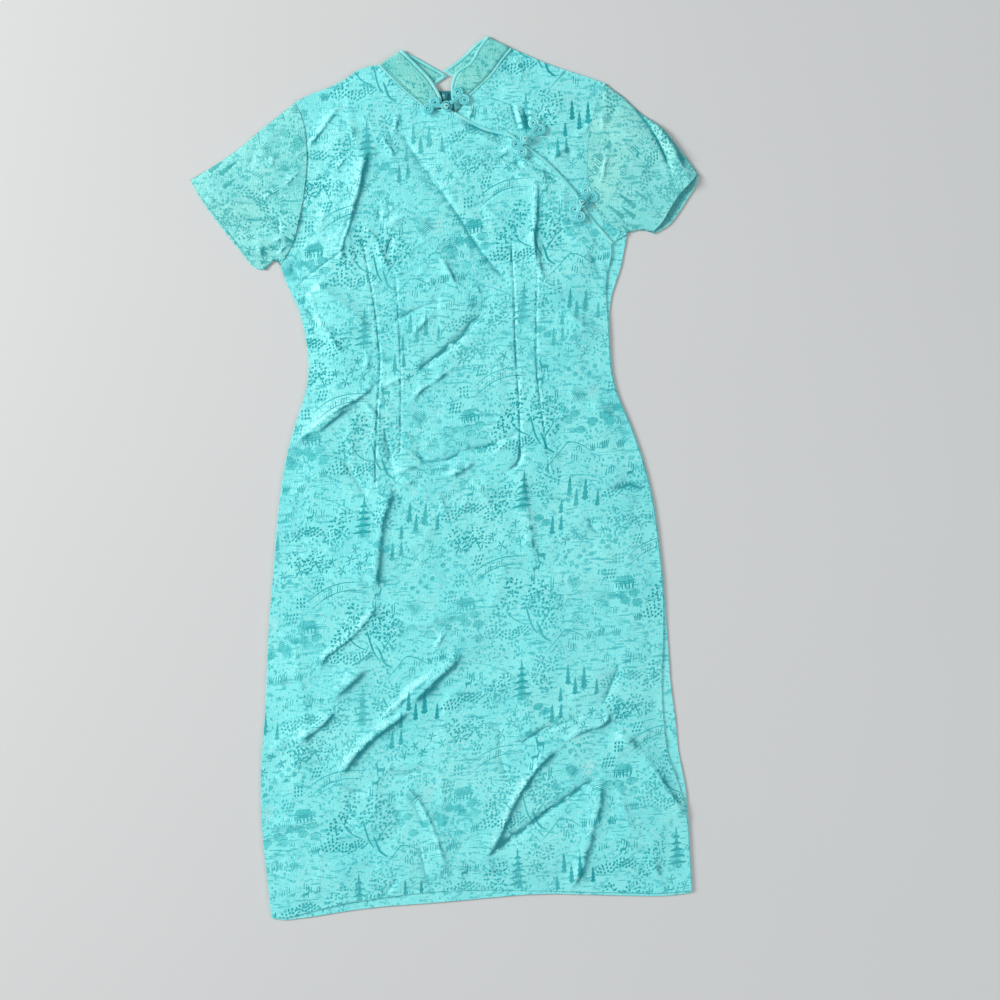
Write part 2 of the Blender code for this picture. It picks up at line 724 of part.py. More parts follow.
def make_zip():
    bottom = ZIP_TOP - ZIP_LENGTH
    floor = WALL + GAP
    tape = [Vector((ZIP_X - TAPE_HALF, ZIP_TOP)), Vector((ZIP_X - TAPE_HALF, bottom)),
            Vector((ZIP_X + TAPE_HALF, bottom)), Vector((ZIP_X + TAPE_HALF, ZIP_TOP))]
    chain_top = ZIP_TOP - CHAIN_START
    chain_bottom = bottom + CHAIN_START
    edge = CHAIN_HALF + CHAIN_FOOT
    chain = [Vector((ZIP_X - CHAIN_HALF, chain_top)), Vector((ZIP_X - CHAIN_HALF, chain_bottom)),
             Vector((ZIP_X + CHAIN_HALF, chain_bottom)), Vector((ZIP_X + CHAIN_HALF, chain_top))]
    foot_top = chain_top + CHAIN_FOOT
    foot_bottom = chain_bottom - CHAIN_FOOT
    foot = [Vector((ZIP_X - edge, foot_top)), Vector((ZIP_X - edge, foot_bottom)),
            Vector((ZIP_X + edge, foot_bottom)), Vector((ZIP_X + edge, foot_top))]

    def high(p):
        on_chain = abs(p.x - ZIP_X) < CHAIN_HALF + 0.1 and chain_bottom - 0.1 < p.y < chain_top + 0.1
        return floor + (CHAIN_HEIGHT if on_chain else TAPE_HEIGHT)

    slab("zip_tape", [tape, foot, chain], [], lambda p: inside(p, tape), level(floor), high,
         AQUA_TAPE, roughness=0.7)
    low = floor + TAPE_HEIGHT + GAP
    top = ZIP_TOP - SLIDER_START
    end = top - SLIDER_LENGTH
    outline = [Vector((ZIP_X - SLIDER_HALF, top)), Vector((ZIP_X - SLIDER_HALF, top - 4)),
               Vector((ZIP_X - 0.7 * SLIDER_HALF, end)), Vector((ZIP_X + 0.7 * SLIDER_HALF, end)),
               Vector((ZIP_X + SLIDER_HALF, top - 4)), Vector((ZIP_X + SLIDER_HALF, top))]
    slider = panel("zip_slider", outline, [], level(low), level(low + SLIDER_HEIGHT), ENAMEL,
                   roughness=0.42, metallic=0.3)
    bevel = slider.modifiers.new("rounded edges", "BEVEL")
    bevel.width = 0.4 * MM
    bevel.segments = 1
    bevel.limit_method = "ANGLE"


def main():
    for old in list(bpy.data.objects):
        bpy.data.objects.remove(old)
    make_backs()
    make_front()
    make_yoke()
    make_sleeve("sleeve_left", ARM_LEFT, SLEEVE_CUFF_LEFT, SLEEVE_TOP_LEFT, SLEEVE_UNDER_LEFT,
                MOUNDS_LEFT, 0.0, -1)
    make_sleeve("sleeve_right", ARM_RIGHT, SLEEVE_CUFF_RIGHT, SLEEVE_TOP_RIGHT, SLEEVE_UNDER_RIGHT,
                MOUNDS_RIGHT, CUFF_PULL_RIGHT, 1)
    make_collar("left", COLLAR_LEFT_FRONT, COLLAR_LEFT_BACK, 1)
    make_collar("right", COLLAR_RIGHT_FRONT, COLLAR_RIGHT_BACK, -1)
    make_closing()
    make_frogs()
    make_zip()


main()
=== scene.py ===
"""Looks of the short-sleeved cheongsam: figured satin panels with their creases, sleeves, collar,
bindings, coiled frogs and zip. Lengths in the tables and functions are in millimetres."""
import math
from collections import namedtuple

import bpy
import numpy as np
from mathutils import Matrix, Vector
from mathutils.geometry import delaunay_2d_cdt


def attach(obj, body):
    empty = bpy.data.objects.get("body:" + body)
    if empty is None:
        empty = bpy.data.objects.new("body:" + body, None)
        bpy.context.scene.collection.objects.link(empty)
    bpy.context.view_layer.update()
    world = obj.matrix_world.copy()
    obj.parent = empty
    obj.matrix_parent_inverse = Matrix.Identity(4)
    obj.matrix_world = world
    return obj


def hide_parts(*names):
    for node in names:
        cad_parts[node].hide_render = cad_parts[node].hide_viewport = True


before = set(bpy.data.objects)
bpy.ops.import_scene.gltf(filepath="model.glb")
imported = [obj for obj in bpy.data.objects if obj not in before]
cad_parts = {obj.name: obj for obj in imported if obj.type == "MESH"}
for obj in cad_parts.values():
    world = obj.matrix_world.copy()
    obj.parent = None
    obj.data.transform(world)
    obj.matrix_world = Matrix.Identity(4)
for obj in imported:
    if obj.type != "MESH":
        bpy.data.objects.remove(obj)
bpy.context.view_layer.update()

MM = 0.001

# Heights of the cloth, up from the surface that the dress lies on
WALL = 1.2                 # thickness of the cloth
GAP = 0.3
SEAM_TOP = 2 * WALL + GAP  # top of two layers that meet at a seam
CROWN = 3.4                # how far the front lies above its seams
CROWN_REACH = 46.0
LAP_LIFT = 1.5             # the front above the shoulder piece, along the closing
LAP_WIDTH = 30.0
LAP_RAMP = 16.0
THINNEST = 0.35            # least height of a trough above the seam level

KEY_LIGHT_PLAN = (-0.9, 0.45)         # the key light's direction in plan: painted shade on flanks turned away from it, painted highlight on flanks turned to it

# Meshes
FIELD_STEP = 1.0
CREASE_SPREAD = 0.66
CREASE_CREST = 0.88
CREASE_HEIGHT = 0.82
FRONT_GRID = 5.9
BACK_GRID = 8.0
SLEEVE_GRID = 4.2
INSIDE_GRID = 14.0
EDGE_STEP = 3.2
CORNER = 34.0              # an outline turns more than this, in degrees, only at a corner
LONG_EDGE = 60.0
FACING_UP = 0.5
RIM_OUT = 0.35
FLOOR_EASE = 0.7

# Figure of the cloth: one repeat is 200 wide and 235 high
REPEAT_X = 200.0
REPEAT_Y = 235.0
FIGURE_LEAN = 0.06
FIGURE_CLIMB = 0.1
GROUND, DARK, MID, PALE = range(4)


# ---------------------------------------------------------------- lines

def smooth(points, step=EDGE_STEP):
    """Smooth line through the points, with a point about every step."""
    p = np.array(points, float)
    p = np.vstack([2 * p[0] - p[1], p, 2 * p[-1] - p[-2]])
    line = []
    for a, b, c, d in zip(p, p[1:], p[2:], p[3:]):
        count = max(1, round(float(np.linalg.norm(c - b)) / step))
        for k in range(count):
            t = k / count
            line.append(0.5 * (2 * b + (c - a) * t + (2 * a - 5 * b + 4 * c - d) * t * t
                               + (3 * b - a - 3 * c + d) * t ** 3))
    return np.array(line + [p[-2]])


def lengths(line):
    """Length along the line up to each of its points."""
    return np.concatenate([[0], np.cumsum(np.linalg.norm(np.diff(line, axis=0), axis=1))])


def unit(vectors):
    """The vectors, each one long."""
    return vectors / np.maximum(np.linalg.norm(vectors, axis=-1, keepdims=True), 1e-9)


def even(line, count):
    """count + 1 points spread evenly along the line."""
    line = np.array(line, float)
    along = lengths(line)
    at = np.linspace(0, along[-1], count + 1)
    return np.stack([np.interp(at, along, line[:, k]) for k in range(line.shape[1])], axis=1)


def across(line):
    """Unit vectors to the left of the line's direction."""
    d = unit(np.gradient(line[:, :2], axis=0))
    return np.stack([-d[:, 1], d[:, 0]], axis=1)


def shifted(line, distance):
    """The line moved over to its left."""
    return line + across(line) * distance


def away_from(x, y, line):
    """Distance from the line, its side (1 on the left) and the length along it."""
    best = np.full(x.shape, 1e9)
    side = np.ones(x.shape)
    along = np.zeros(x.shape)
    start = 0.0
    for a, b in zip(line, line[1:]):
        d = b - a
        size = float(np.hypot(*d))
        if size < 1e-9:
            continue
        rx = x - a[0]
        ry = y - a[1]
        t = np.clip((rx * d[0] + ry * d[1]) / size ** 2, 0, 1)
        far = np.hypot(rx - t * d[0], ry - t * d[1])
        nearer = far < best
        best = np.where(nearer, far, best)
        side = np.where(nearer, np.sign(d[0] * ry - d[1] * rx + 1e-12), side)
        along = np.where(nearer, start + t * size, along)
        start += size
    return best, side, along


def ease(t):
    """From 0 to 1 with a soft start and end."""
    t = np.clip(t, 0, 1)
    return t * t * (3 - 2 * t)


# ---------------------------------------------------------------- edges and seams

Station = namedtuple("Station", "neck_x neck_y top_x top_y")
COLLAR_LEFT_FRONT = [
    Station(-10, 455, 1, 459.5),
    Station(-19, 461, 1, 470),
    Station(-30, 471, -4, 482),
    Station(-42, 482, -13, 497),
    Station(-56, 497, -26, 512),
    Station(-73, 516.5, -45, 533.3),
]
COLLAR_LEFT_BACK = [
    Station(-58, 501, -26, 521.5),
    Station(-43, 490, -11, 512),
    Station(-29, 484, 1, 504.5),
    Station(-17, 481, 10, 498),
]
COLLAR_RIGHT_FRONT = [
    Station(25, 461, 14, 463.5),
    Station(32, 470, 13, 478),
    Station(42, 479, 15, 490),
    Station(54, 489, 21, 502),
    Station(66, 501, 38, 513),
    Station(76, 514, 50, 531),
    Station(89, 529.5, 61, 545.3),
]
COLLAR_RIGHT_BACK = [
    Station(72, 511, 45, 535),
    Station(57, 499, 31, 522),
    Station(42, 492, 17.5, 512),
    Station(28, 489, 4.5, 504.5),
]
CLOSING = smooth([(17, 452), (54, 431), (84, 422), (96, 412), (127, 387), (160, 350), (179, 316),
                  (207, 280)], 3)
ARM_LEFT = smooth([(-181, 474), (-172, 445), (-170, 415), (-172, 385), (-177, 355), (-184, 325),
                   (-193, 298), (-209.5, 271)])
ARM_RIGHT = smooth([(206, 479), (192, 449), (183, 418), (179, 385), (180, 355), (186, 328),
                    (199, 305), (224, 290.5)])
SHOULDERS = [smooth([(-87, 514), (-104, 508.5), (-116, 500.5), (-137, 490.5), (-160, 483),
                     (-181, 474)]),
             smooth([(107, 520.5), (125, 511.5), (149, 501), (176, 491), (206, 479)])]
SIDE_LEFT = smooth([(-209.5, 271), (-203, 250), (-189, 215), (-182, 180), (-180, 150), (-183, 120),
                    (-193, 90), (-204, 60), (-216, 20), (-227, -40), (-236, -110), (-243.5, -165),
                    (-253, -270), (-263.5, -360), (-265, -440), (-259, -541)], 12)
SIDE_RIGHT = smooth([(207, 280), (199.5, 250), (194.5, 215), (195, 180), (195, 150), (202, 90),
                     (213, 60), (226, 20), (239, -40), (245.5, -110), (247.5, -165), (241, -270),
                     (241, -320), (256, -400), (264, -440), (266, -532)], 12)
HEM = smooth([(-259, -541), (-200, -538), (-120, -529.5), (-25, -523.5), (64, -523), (120, -527),
              (225, -533.5), (266, -532)], 12)

# Darts and seam grooves: a line, its depth and its half width
Groove = namedtuple("Groove", "line depth half")
GROOVES = [
    Groove([(-106, 300), (-101, 262), (-94, 210), (-91, 145), (-96, 94), (-102, 30), (-104, -18)],
           1.3, 1.2),
    Groove([(-67, 258), (-66, 222), (-65, 180), (-66, 124), (-68, 80), (-72, 24)], 1.1, 1.1),
    Groove([(80, 293), (80, 250), (80, 200), (79, 150), (80, 86), (79, 8)], 1.6, 1.3),
    Groove([(111, 292), (110, 250), (107, 200), (104, 127), (108, 70), (112, 30), (113, -11)],
           1.2, 1.1),
    Groove([(-194, 237), (-183, 250), (-160, 267), (-136, 282), (-122, 293)], 1.0, 1.3),
    Groove([(197, 226), (192, 236), (180, 241)], 0.7, 1.2),
]

# A crease has its line, its height (less than 0 for a trough), its half widths to the left and
# right of the line's direction, and how pointed its crest is (1 sharp, 2 round).
Crease = namedtuple("Crease", "line height left right crest")


def creases_of(rows):
    """The creases, one from each row of values."""
    return [Crease(*row) for row in rows]


FRONT_CREASES = creases_of([
    # lower left of the skirt
    ([(-122, -233), (-140, -247), (-158, -261), (-178, -279)], 6.0, 9, 22, 1.5),
    ([(-160, -280), (-180, -299), (-197, -312), (-210, -320), (-224, -338)], 5.5, 7, 15, 1.4),
    ([(-220, -312), (-240, -328), (-268, -346)], 2.8, 9, 16, 1.7),
    ([(5, -220), (-10, -228), (-22, -238), (-36, -250), (-52, -264), (-66, -276),
      (-86, -290)], 7.0, 10, 18, 1.5),
    ([(-36, -241), (-60, -259), (-80, -276), (-100, -293), (-120, -306)], 3.6, 5, 8, 1.3),
    ([(-66, -286), (-95, -304), (-115, -317), (-130, -329), (-146, -344), (-157, -358),
      (-169, -375)], 7.0, 8, 15, 1.4),
    ([(-108, -146), (-113, -163), (-126, -179), (-145, -197), (-163, -210), (-175, -218),
      (-182, -230), (-192, -244)], 3.6, 6, 9, 1.3),
    ([(-262, -249), (-248, -246), (-236, -248), (-224, -244), (-214, -238)], 3.0, 7, 5, 1.3),
    ([(-168, -378), (-155, -386), (-140, -389), (-124, -385)], -2.4, 7, 8, 1.6),
    ([(-205, -345), (-190, -352), (-172, -356)], -1.6, 9, 9, 1.8),
    ([(-232, -371), (-215, -374), (-200, -379)], 1.6, 5, 6, 1.4),
    ([(-270, -422), (-235, -426), (-200, -424), (-170, -432)], 1.5, 7, 6, 1.5),
    ([(-42, -221), (-35, -209), (-28, -198), (-21, -188)], 2.2, 5, 5, 1.3),
    ([(-140, -222), (-128, -222), (-118, -213)], 1.8, 5, 6, 1.5),
    # foot of the skirt
    ([(10, -484), (20, -469), (29, -454), (38, -436), (50, -412), (65, -390), (80, -371),
      (95, -356), (118, -342)], 6.0, 14, 7, 1.15),
    ([(13, -482), (25, -471), (40, -460), (55, -450), (70, -441), (82, -432), (100, -420),
      (122, -406), (142, -394), (166, -378)], -4.4, 6, 9, 1.2),
    ([(-1, -481), (6, -480), (13, -485), (17, -493), (21, -501)], 2.4, 4, 3, 1.2),
    ([(19, -496), (29, -498), (42, -494)], -2.0, 3, 4, 1.3),
    ([(166, -378), (158, -402), (154, -425), (145, -452), (136, -478), (127, -503),
      (108, -536)], 5.2, 11, 15, 1.3),
    ([(174, -321), (190, -336), (202, -349), (216, -363), (224, -374), (234, -393),
      (246, -412), (258, -431), (268, -452)], 7.0, 12, 18, 1.25),
    ([(170, -341), (180, -349), (192, -362)], 2.4, 5, 6, 1.4),
    ([(202, -321), (218, -330), (236, -340), (254, -354)], 3.0, 7, 9, 1.4),
    ([(222, -366), (240, -378), (266, -392)], 3.0, 7, 9, 1.4),
    ([(180, -396), (184, -417), (190, -438), (200, -454), (210, -463)], 3.8, 9, 11, 1.4),
    ([(158, -458), (182, -464), (200, -474), (214, -479)], 2.2, 6, 6, 1.5),
    ([(206, -482), (219, -495), (226, -515), (236, -540)], 2.2, 8, 9, 1.7),
    ([(46, -320), (56, -330), (66, -338), (76, -331), (92, -323), (112, -318), (135, -311),
      (158, -306)], -3.4, 5, 6, 1.2),
    ([(48, -322), (58, -331), (67, -343), (78, -358)], 2.4, 5, 6, 1.3),
    ([(106, -345), (125, -333), (142, -325), (160, -321), (171, -314), (170, -302),
      (168, -286)], 5.0, 8, 7, 1.25),
    ([(98, -329), (118, -320), (135, -314), (154, -306)], 3.0, 5, 5, 1.3),
    ([(90, -300), (104, -306), (120, -304)], 1.8, 5, 5, 1.5),
    ([(-86, -380), (-74, -396), (-62, -418), (-53, -440), (-47, -457), (-42, -478),
      (-39, -496)], 4.8, 6, 6, 1.05),
    ([(-80, -398), (-68, -426), (-60, -448)], -2.2, 9, 11, 1.8),
    ([(-74, -445), (-69, -474), (-65, -498), (-58, -518), (-46, -534)], -2.4, 8, 9, 1.7),
    ([(-110, -358), (-88, -371), (-72, -368), (-55, -366)], -2.6, 5, 5, 1.3),
    ([(38, -304), (35, -330), (37, -358), (42, -384), (45, -400)], -2.0, 6, 6, 1.5),
    ([(-96, -496), (-108, -510), (-124, -526)], -2.4, 6, 6, 1.4),
    ([(-142, -477), (-122, -490)], -1.6, 5, 6, 1.5),
    ([(182, -234), (186, -250), (178, -270), (169, -290), (163, -306)], -3.4, 9, 16, 1.7),
    ([(-30, -470), (-24, -492), (-14, -512)], 1.3, 6, 6, 1.6),
    ([(60, -478), (82, -482), (96, -492), (92, -506)], 1.3, 6, 7, 1.6),
    ([(-212, -484), (-190, -478), (-160, -482), (-130, -470)], 1.1, 8, 8, 1.8),
    # middle of the skirt
    ([(-90, 70), (-88, 48), (-85, 30), (-82, 12), (-77, 0)], -3.2, 5, 5, 1.3),
    ([(-79, -2), (-89, -28), (-99, -60), (-106, -100), (-112, -150)], 6.0, 11, 30, 1.35),
    ([(78, 12), (80, -20), (83, -50), (86, -80), (90, -128)], 4.0, 9, 20, 1.4),
    ([(-70, 43), (-57, 33), (-46, 23), (-36, 15), (-20, 16), (-8, 21), (6, 26), (25, 31),
      (45, 35), (62, 40), (72, 47), (81, 60)], -4.4, 6, 5, 1.2),
    ([(-72, 64), (-62, 50), (-55, 36), (-48, 25)], 3.4, 9, 9, 1.4),
    ([(-16, -2), (0, 4), (10, 9), (24, 19)], 4.8, 8, 8, 1.35),
    ([(38, 21), (52, 28), (60, 35), (76, 41)], 3.0, 5, 6, 1.3),
    ([(77, 40), (79, 24), (76, 12), (68, 4), (53, -1)], -3.0, 4, 5, 1.3),
    ([(-43, -5), (-20, -3), (0, 1)], 2.0, 4, 4, 1.3),
    ([(-80, 0), (-72, 8), (-62, 10), (-48, 15)], 2.6, 5, 5, 1.3),
    ([(-78, -3), (-66, -8), (-53, -4)], 2.4, 5, 5, 1.3),
    ([(-63, 4), (-51, -9), (-40, -19), (-26, -25), (-20, -42), (-16, -66)], 2.4, 5, 5, 1.3),
    ([(7, -4), (17, -9), (25, -17), (36, -18), (48, -21), (60, -25), (76, -29)], 3.8, 5, 7,
     1.25),
    ([(21, -15), (31, -28), (40, -42)], 2.4, 5, 6, 1.4),
    ([(10, 80), (34, 74), (55, 67)], -3.0, 4, 5, 1.3),
    ([(-152, 36), (-141, 23), (-133, 9), (-125, -5), (-118, -19), (-109, -36)], -4.2, 7, 6,
     1.25),
    ([(-135, 20), (-124, 0), (-116, -14)], 2.2, 4, 4, 1.3),
    ([(-97, 130), (-106, 113), (-119, 102), (-140, 91), (-160, 78), (-180, 63), (-212, 42)],
     5.6, 7, 13, 1.25),
    ([(-122, 94), (-145, 82), (-165, 68), (-184, 54)], 2.8, 6, 5, 1.3),
    ([(-121, 104), (-108, 90), (-100, 80), (-88, 68)], 3.0, 5, 7, 1.3),
    ([(-122, 102), (-98, 100), (-84, 92), (-72, 80)], 3.0, 4, 6, 1.3),
    ([(-104, 102), (-90, 112), (-75, 120), (-58, 125), (-38, 131)], 2.4, 5, 5, 1.4),
    ([(-62, 91), (-50, 100), (-38, 110), (-20, 120), (-6, 133)], 2.6, 6, 5, 1.4),
    ([(158, -55), (163, -70), (168, -80), (180, -88)], -2.4, 5, 5, 1.4),
    ([(182, -30), (197, -27), (206, -25), (213, -22), (224, -27), (244, -24)], -3.8, 7, 6,
     1.3),
    ([(188, -34), (206, -38), (226, -50)], 1.8, 7, 7, 1.6),
    ([(102, -29), (120, -35), (136, -38), (154, -32)], -2.4, 5, 6, 1.4),
    ([(166, 84), (184, 72), (198, 62), (218, 55)], 4.6, 8, 11, 1.35),
    ([(140, 98), (152, 92), (166, 84)], 1.8, 8, 8, 1.7),
    ([(164, -94), (180, -108), (192, -122)], 1.8, 8, 9, 1.7),
    ([(98, -122), (111, -133), (124, -144)], 1.6, 5, 6, 1.5),
    ([(-60, -100), (-40, -118), (-22, -142)], 1.2, 8, 9, 1.8),
    ([(-232, 6), (-214, -12), (-190, -18), (-160, -14)], 1.4, 8, 8, 1.7),
    ([(-170, -108), (-150, -130), (-142, -156)], 1.5, 7, 8, 1.7),
    # waist
    ([(-84, 186), (-60, 200), (-40, 208), (-25, 213), (-8, 219)], -3.2, 5, 5, 1.2),
    ([(-53, 172), (-40, 186), (-30, 196), (-14, 210)], 2.8, 5, 6, 1.3),
    ([(-60, 121), (-30, 140), (-10, 155), (10, 170), (25, 185), (37, 197), (50, 204)], -4.4,
     7, 7, 1.2),
    ([(26, 212), (40, 208), (54, 207)], -3.0, 4, 4, 1.2),
    ([(64, 202), (80, 205), (99, 201)], -2.0, 4, 5, 1.3),
    ([(8, 140), (-10, 128), (-30, 118)], 1.6, 7, 7, 1.6),
    ([(137, 206), (150, 191), (165, 179), (180, 170), (202, 157)], 4.0, 7, 11, 1.3),
    ([(102, 236), (124, 228), (144, 210)], 3.2, 13, 13, 1.6),
    ([(100, 112), (122, 108), (142, 109)], -1.6, 4, 4, 1.4),
    ([(-190, 182), (-178, 178), (-168, 184)], 1.4, 6, 6, 1.6),
    ([(-114, 194), (-106, 186), (-97, 182)], 2.0, 4, 5, 1.4),
    ([(-112, 165), (-106, 150), (-112, 130)], 2.0, 6, 6, 1.5),
    # left of the bodice
    ([(-178, 257), (-160, 240), (-140, 223), (-120, 205), (-100, 184)], 6.6, 14, 18, 1.3),
    ([(-190, 218), (-179, 213), (-173, 204), (-170, 192)], -3.6, 4, 5, 1.2),
    ([(-168, 209), (-158, 191), (-150, 178), (-143, 165), (-133, 153)], 4.4, 6, 8, 1.2),
    ([(-177, 238), (-172, 229), (-169, 219)], 2.8, 5, 5, 1.3),
    ([(-82, 414), (-94, 406), (-100, 393), (-105, 370), (-111, 350), (-117, 335),
      (-122, 318), (-130, 300), (-133, 285), (-133, 275), (-141, 268)], 5.8, 6, 16, 1.2),
    ([(-119, 340), (-124, 318), (-132, 298), (-134, 280)], -3.2, 4, 5, 1.2),
    ([(-104, 315), (-95, 306), (-85, 296)], 3.2, 4, 5, 1.2),
    ([(-92, 295), (-84, 280), (-78, 268), (-72, 257)], 3.8, 6, 7, 1.3),
    ([(-66, 304), (-72, 290), (-76, 273)], -3.4, 4, 4, 1.2),
    ([(-83, 308), (-68, 318), (-55, 325), (-38, 321), (-24, 313), (-12, 301)], 4.8, 7, 8,
     1.25),
    ([(-84, 326), (-68, 333), (-55, 343)], 2.4, 5, 5, 1.3),
    ([(-82, 340), (-84, 328), (-81, 316)], -2.6, 5, 5, 1.4),
    ([(-69, 254), (-60, 254), (-55, 253)], 2.2, 4, 4, 1.2),
    ([(-197, 278), (-196, 268), (-198, 256)], -3.2, 5, 4, 1.4),
    ([(-184, 300), (-172, 294), (-158, 300)], 2.2, 6, 6, 1.4),
    ([(-178, 288), (-168, 284), (-160, 290)], -2.4, 4, 4, 1.3),
    ([(-116, 480), (-130, 463), (-150, 438), (-165, 420), (-176, 402)], 3.4, 5, 7, 1.3),
    ([(-162, 482), (-150, 484), (-138, 484)], 1.6, 4, 5, 1.4),
    ([(-122, 492), (-108, 493), (-93, 491)], 1.6, 4, 5, 1.4),
    ([(-120, 402), (-128, 394), (-138, 383)], 2.2, 4, 5, 1.3),
    ([(-168, 376), (-154, 378), (-138, 378)], -2.0, 4, 4, 1.4),
    ([(-54, 459), (-57, 440), (-63, 422)], 2.0, 4, 5, 1.3),
    ([(-106, 456), (-92, 446), (-78, 434)], 1.8, 5, 5, 1.4),
    ([(-114, 430), (-100, 432), (-88, 432)], -1.6, 4, 4, 1.4),
    ([(-82, 432), (-66, 411), (-60, 392)], 2.6, 5, 7, 1.3),
    ([(-150, 345), (-156, 322), (-166, 306)], 1.8, 6, 7, 1.5),
    # right of the bodice
    ([(-60, 440), (-46, 419), (-35, 400), (-22, 381), (-11, 364), (0, 346), (10, 330),
      (20, 313), (30, 295), (45, 271), (60, 251), (80, 230)], -3.6, 4, 13, 1.05),
    ([(14, 447), (28, 438), (44, 431), (62, 424), (80, 414), (92, 404)], -4.6, 5, 6, 1.3),
    ([(92, 403), (106, 390), (122, 376), (138, 362), (150, 348)], -3.6, 4, 5, 1.3),
    ([(16, 440), (36, 427), (56, 417), (74, 405)], 2.6, 4, 7, 1.2),
    ([(68, 395), (84, 388), (102, 377)], -5.0, 10, 5, 1.5),
    ([(60, 372), (78, 380), (94, 374), (112, 366)], 2.4, 5, 6, 1.3),
    ([(-36, 300), (-20, 286), (-2, 280)], 1.8, 5, 6, 1.4),
    ([(60, 345), (44, 336), (30, 341)], -1.6, 4, 5, 1.4),
    ([(-40, 262), (-26, 250), (-8, 246)], 1.8, 5, 6, 1.4),
    ([(42, 342), (57, 323), (68, 316), (78, 307)], 2.8, 5, 6, 1.3),
    ([(33, 309), (42, 316), (51, 322)], -1.8, 4, 4, 1.3),
    ([(-11, 277), (-1, 256), (9, 238)], 3.2, 5, 6, 1.3),
    ([(-14, 252), (-2, 251), (5, 241), (9, 229)], 2.4, 5, 5, 1.3),
    ([(22, 240), (32, 234), (39, 220)], 2.2, 4, 4, 1.2),
    ([(114, 372), (114, 350), (113, 330), (111, 310), (108, 290), (109, 270), (112, 246)],
     4.4, 5, 10, 1.2),
    ([(109, 274), (113, 256), (117, 243), (125, 233)], 3.0, 4, 6, 1.2),
    ([(126, 318), (134, 306), (143, 294)], 2.4, 4, 5, 1.3),
    ([(187, 265), (196, 256), (198, 243), (196, 226), (193, 202)], -3.4, 4, 4, 1.2),
    ([(174, 276), (183, 252), (187, 225)], -2.8, 7, 7, 1.5),
    ([(66, 392), (83, 403), (93, 398), (98, 380)], 3.8, 5, 9, 1.3),
    ([(66, 372), (80, 360), (88, 340)], 1.6, 6, 6, 1.6),
    ([(150, 352), (146, 330), (152, 305)], 1.8, 6, 6, 1.5),
    ([(20, 430), (10, 412), (14, 390)], 1.5, 6, 7, 1.6),
    ([(92, 299), (99, 294), (106, 297)], -2.0, 4, 4, 1.3),
])
YOKE_CREASES = creases_of([
    ([(86, 466), (91, 446), (95, 430), (104, 414)], -3.0, 4, 4, 1.2),
    ([(92, 462), (97, 444), (101, 430), (108, 416)], 3.2, 4, 4, 1.2),
    ([(102, 460), (106, 442), (108, 430), (113, 420)], -3.2, 4, 3, 1.2),
    ([(110, 452), (111, 440), (112, 430)], 2.4, 4, 4, 1.3),
    ([(78, 476), (95, 470), (110, 466), (140, 462), (178, 471)], 2.2, 6, 7, 1.6),
    ([(94, 524), (99, 506), (106, 488)], 2.2, 5, 6, 1.4),
    ([(42, 463), (37, 450), (31, 438)], 1.8, 4, 5, 1.4),
    ([(156, 406), (172, 418), (185, 432), (197, 462)], 3.2, 7, 9, 1.4),
    ([(132, 382), (145, 397), (163, 403)], 2.4, 5, 6, 1.4),
    ([(160, 402), (157, 390), (154, 378)], -2.2, 4, 5, 1.4),
    ([(198, 311), (208, 302), (219, 291)], 3.0, 4, 5, 1.2),
    ([(193, 329), (203, 312), (213, 295)], 3.0, 4, 4, 1.2),
    ([(124, 440), (140, 446), (150, 440)], 1.6, 6, 6, 1.6),
    ([(186, 360), (193, 352), (199, 364)], -2.2, 4, 4, 1.3),
    ([(118, 500), (140, 492), (158, 480)], 1.6, 6, 7, 1.6),
])
LEFT_SLEEVE_CREASES = creases_of([
    ([(-272, 333), (-245, 330), (-225, 328), (-192, 332)], -2.4, 4, 5, 1.3),
    ([(-256, 324), (-222, 321), (-196, 327)], -1.8, 4, 4, 1.3),
    ([(-266, 354), (-240, 350), (-222, 346)], -1.6, 4, 4, 1.4),
    ([(-234, 350), (-215, 362), (-205, 363), (-192, 353)], 2.2, 4, 5, 1.4),
    ([(-176, 392), (-188, 381), (-204, 366)], 2.4, 4, 5, 1.4),
    ([(-240, 306), (-233, 292), (-237, 280)], 2.6, 7, 7, 1.5),
    ([(-244, 286), (-230, 283), (-216, 284)], -2.2, 4, 4, 1.3),
    ([(-218, 298), (-208, 305), (-196, 299)], 2.6, 4, 4, 1.3),
    ([(-222, 300), (-214, 291), (-203, 287)], -2.8, 3, 4, 1.2),
    ([(-212, 282), (-206, 292), (-198, 296)], 2.8, 3, 3, 1.2),
    ([(-209, 327), (-210, 318), (-208, 308)], -2.6, 5, 5, 1.6),
    ([(-198, 450), (-216, 430), (-228, 404)], 1.4, 8, 9, 1.8),
    ([(-240, 424), (-238, 410), (-244, 392)], -1.4, 7, 7, 1.8),
    ([(-205, 414), (-214, 402), (-210, 386)], 1.4, 5, 5, 1.6),
    ([(-292, 360), (-280, 350), (-268, 352)], -1.6, 5, 5, 1.6),
])
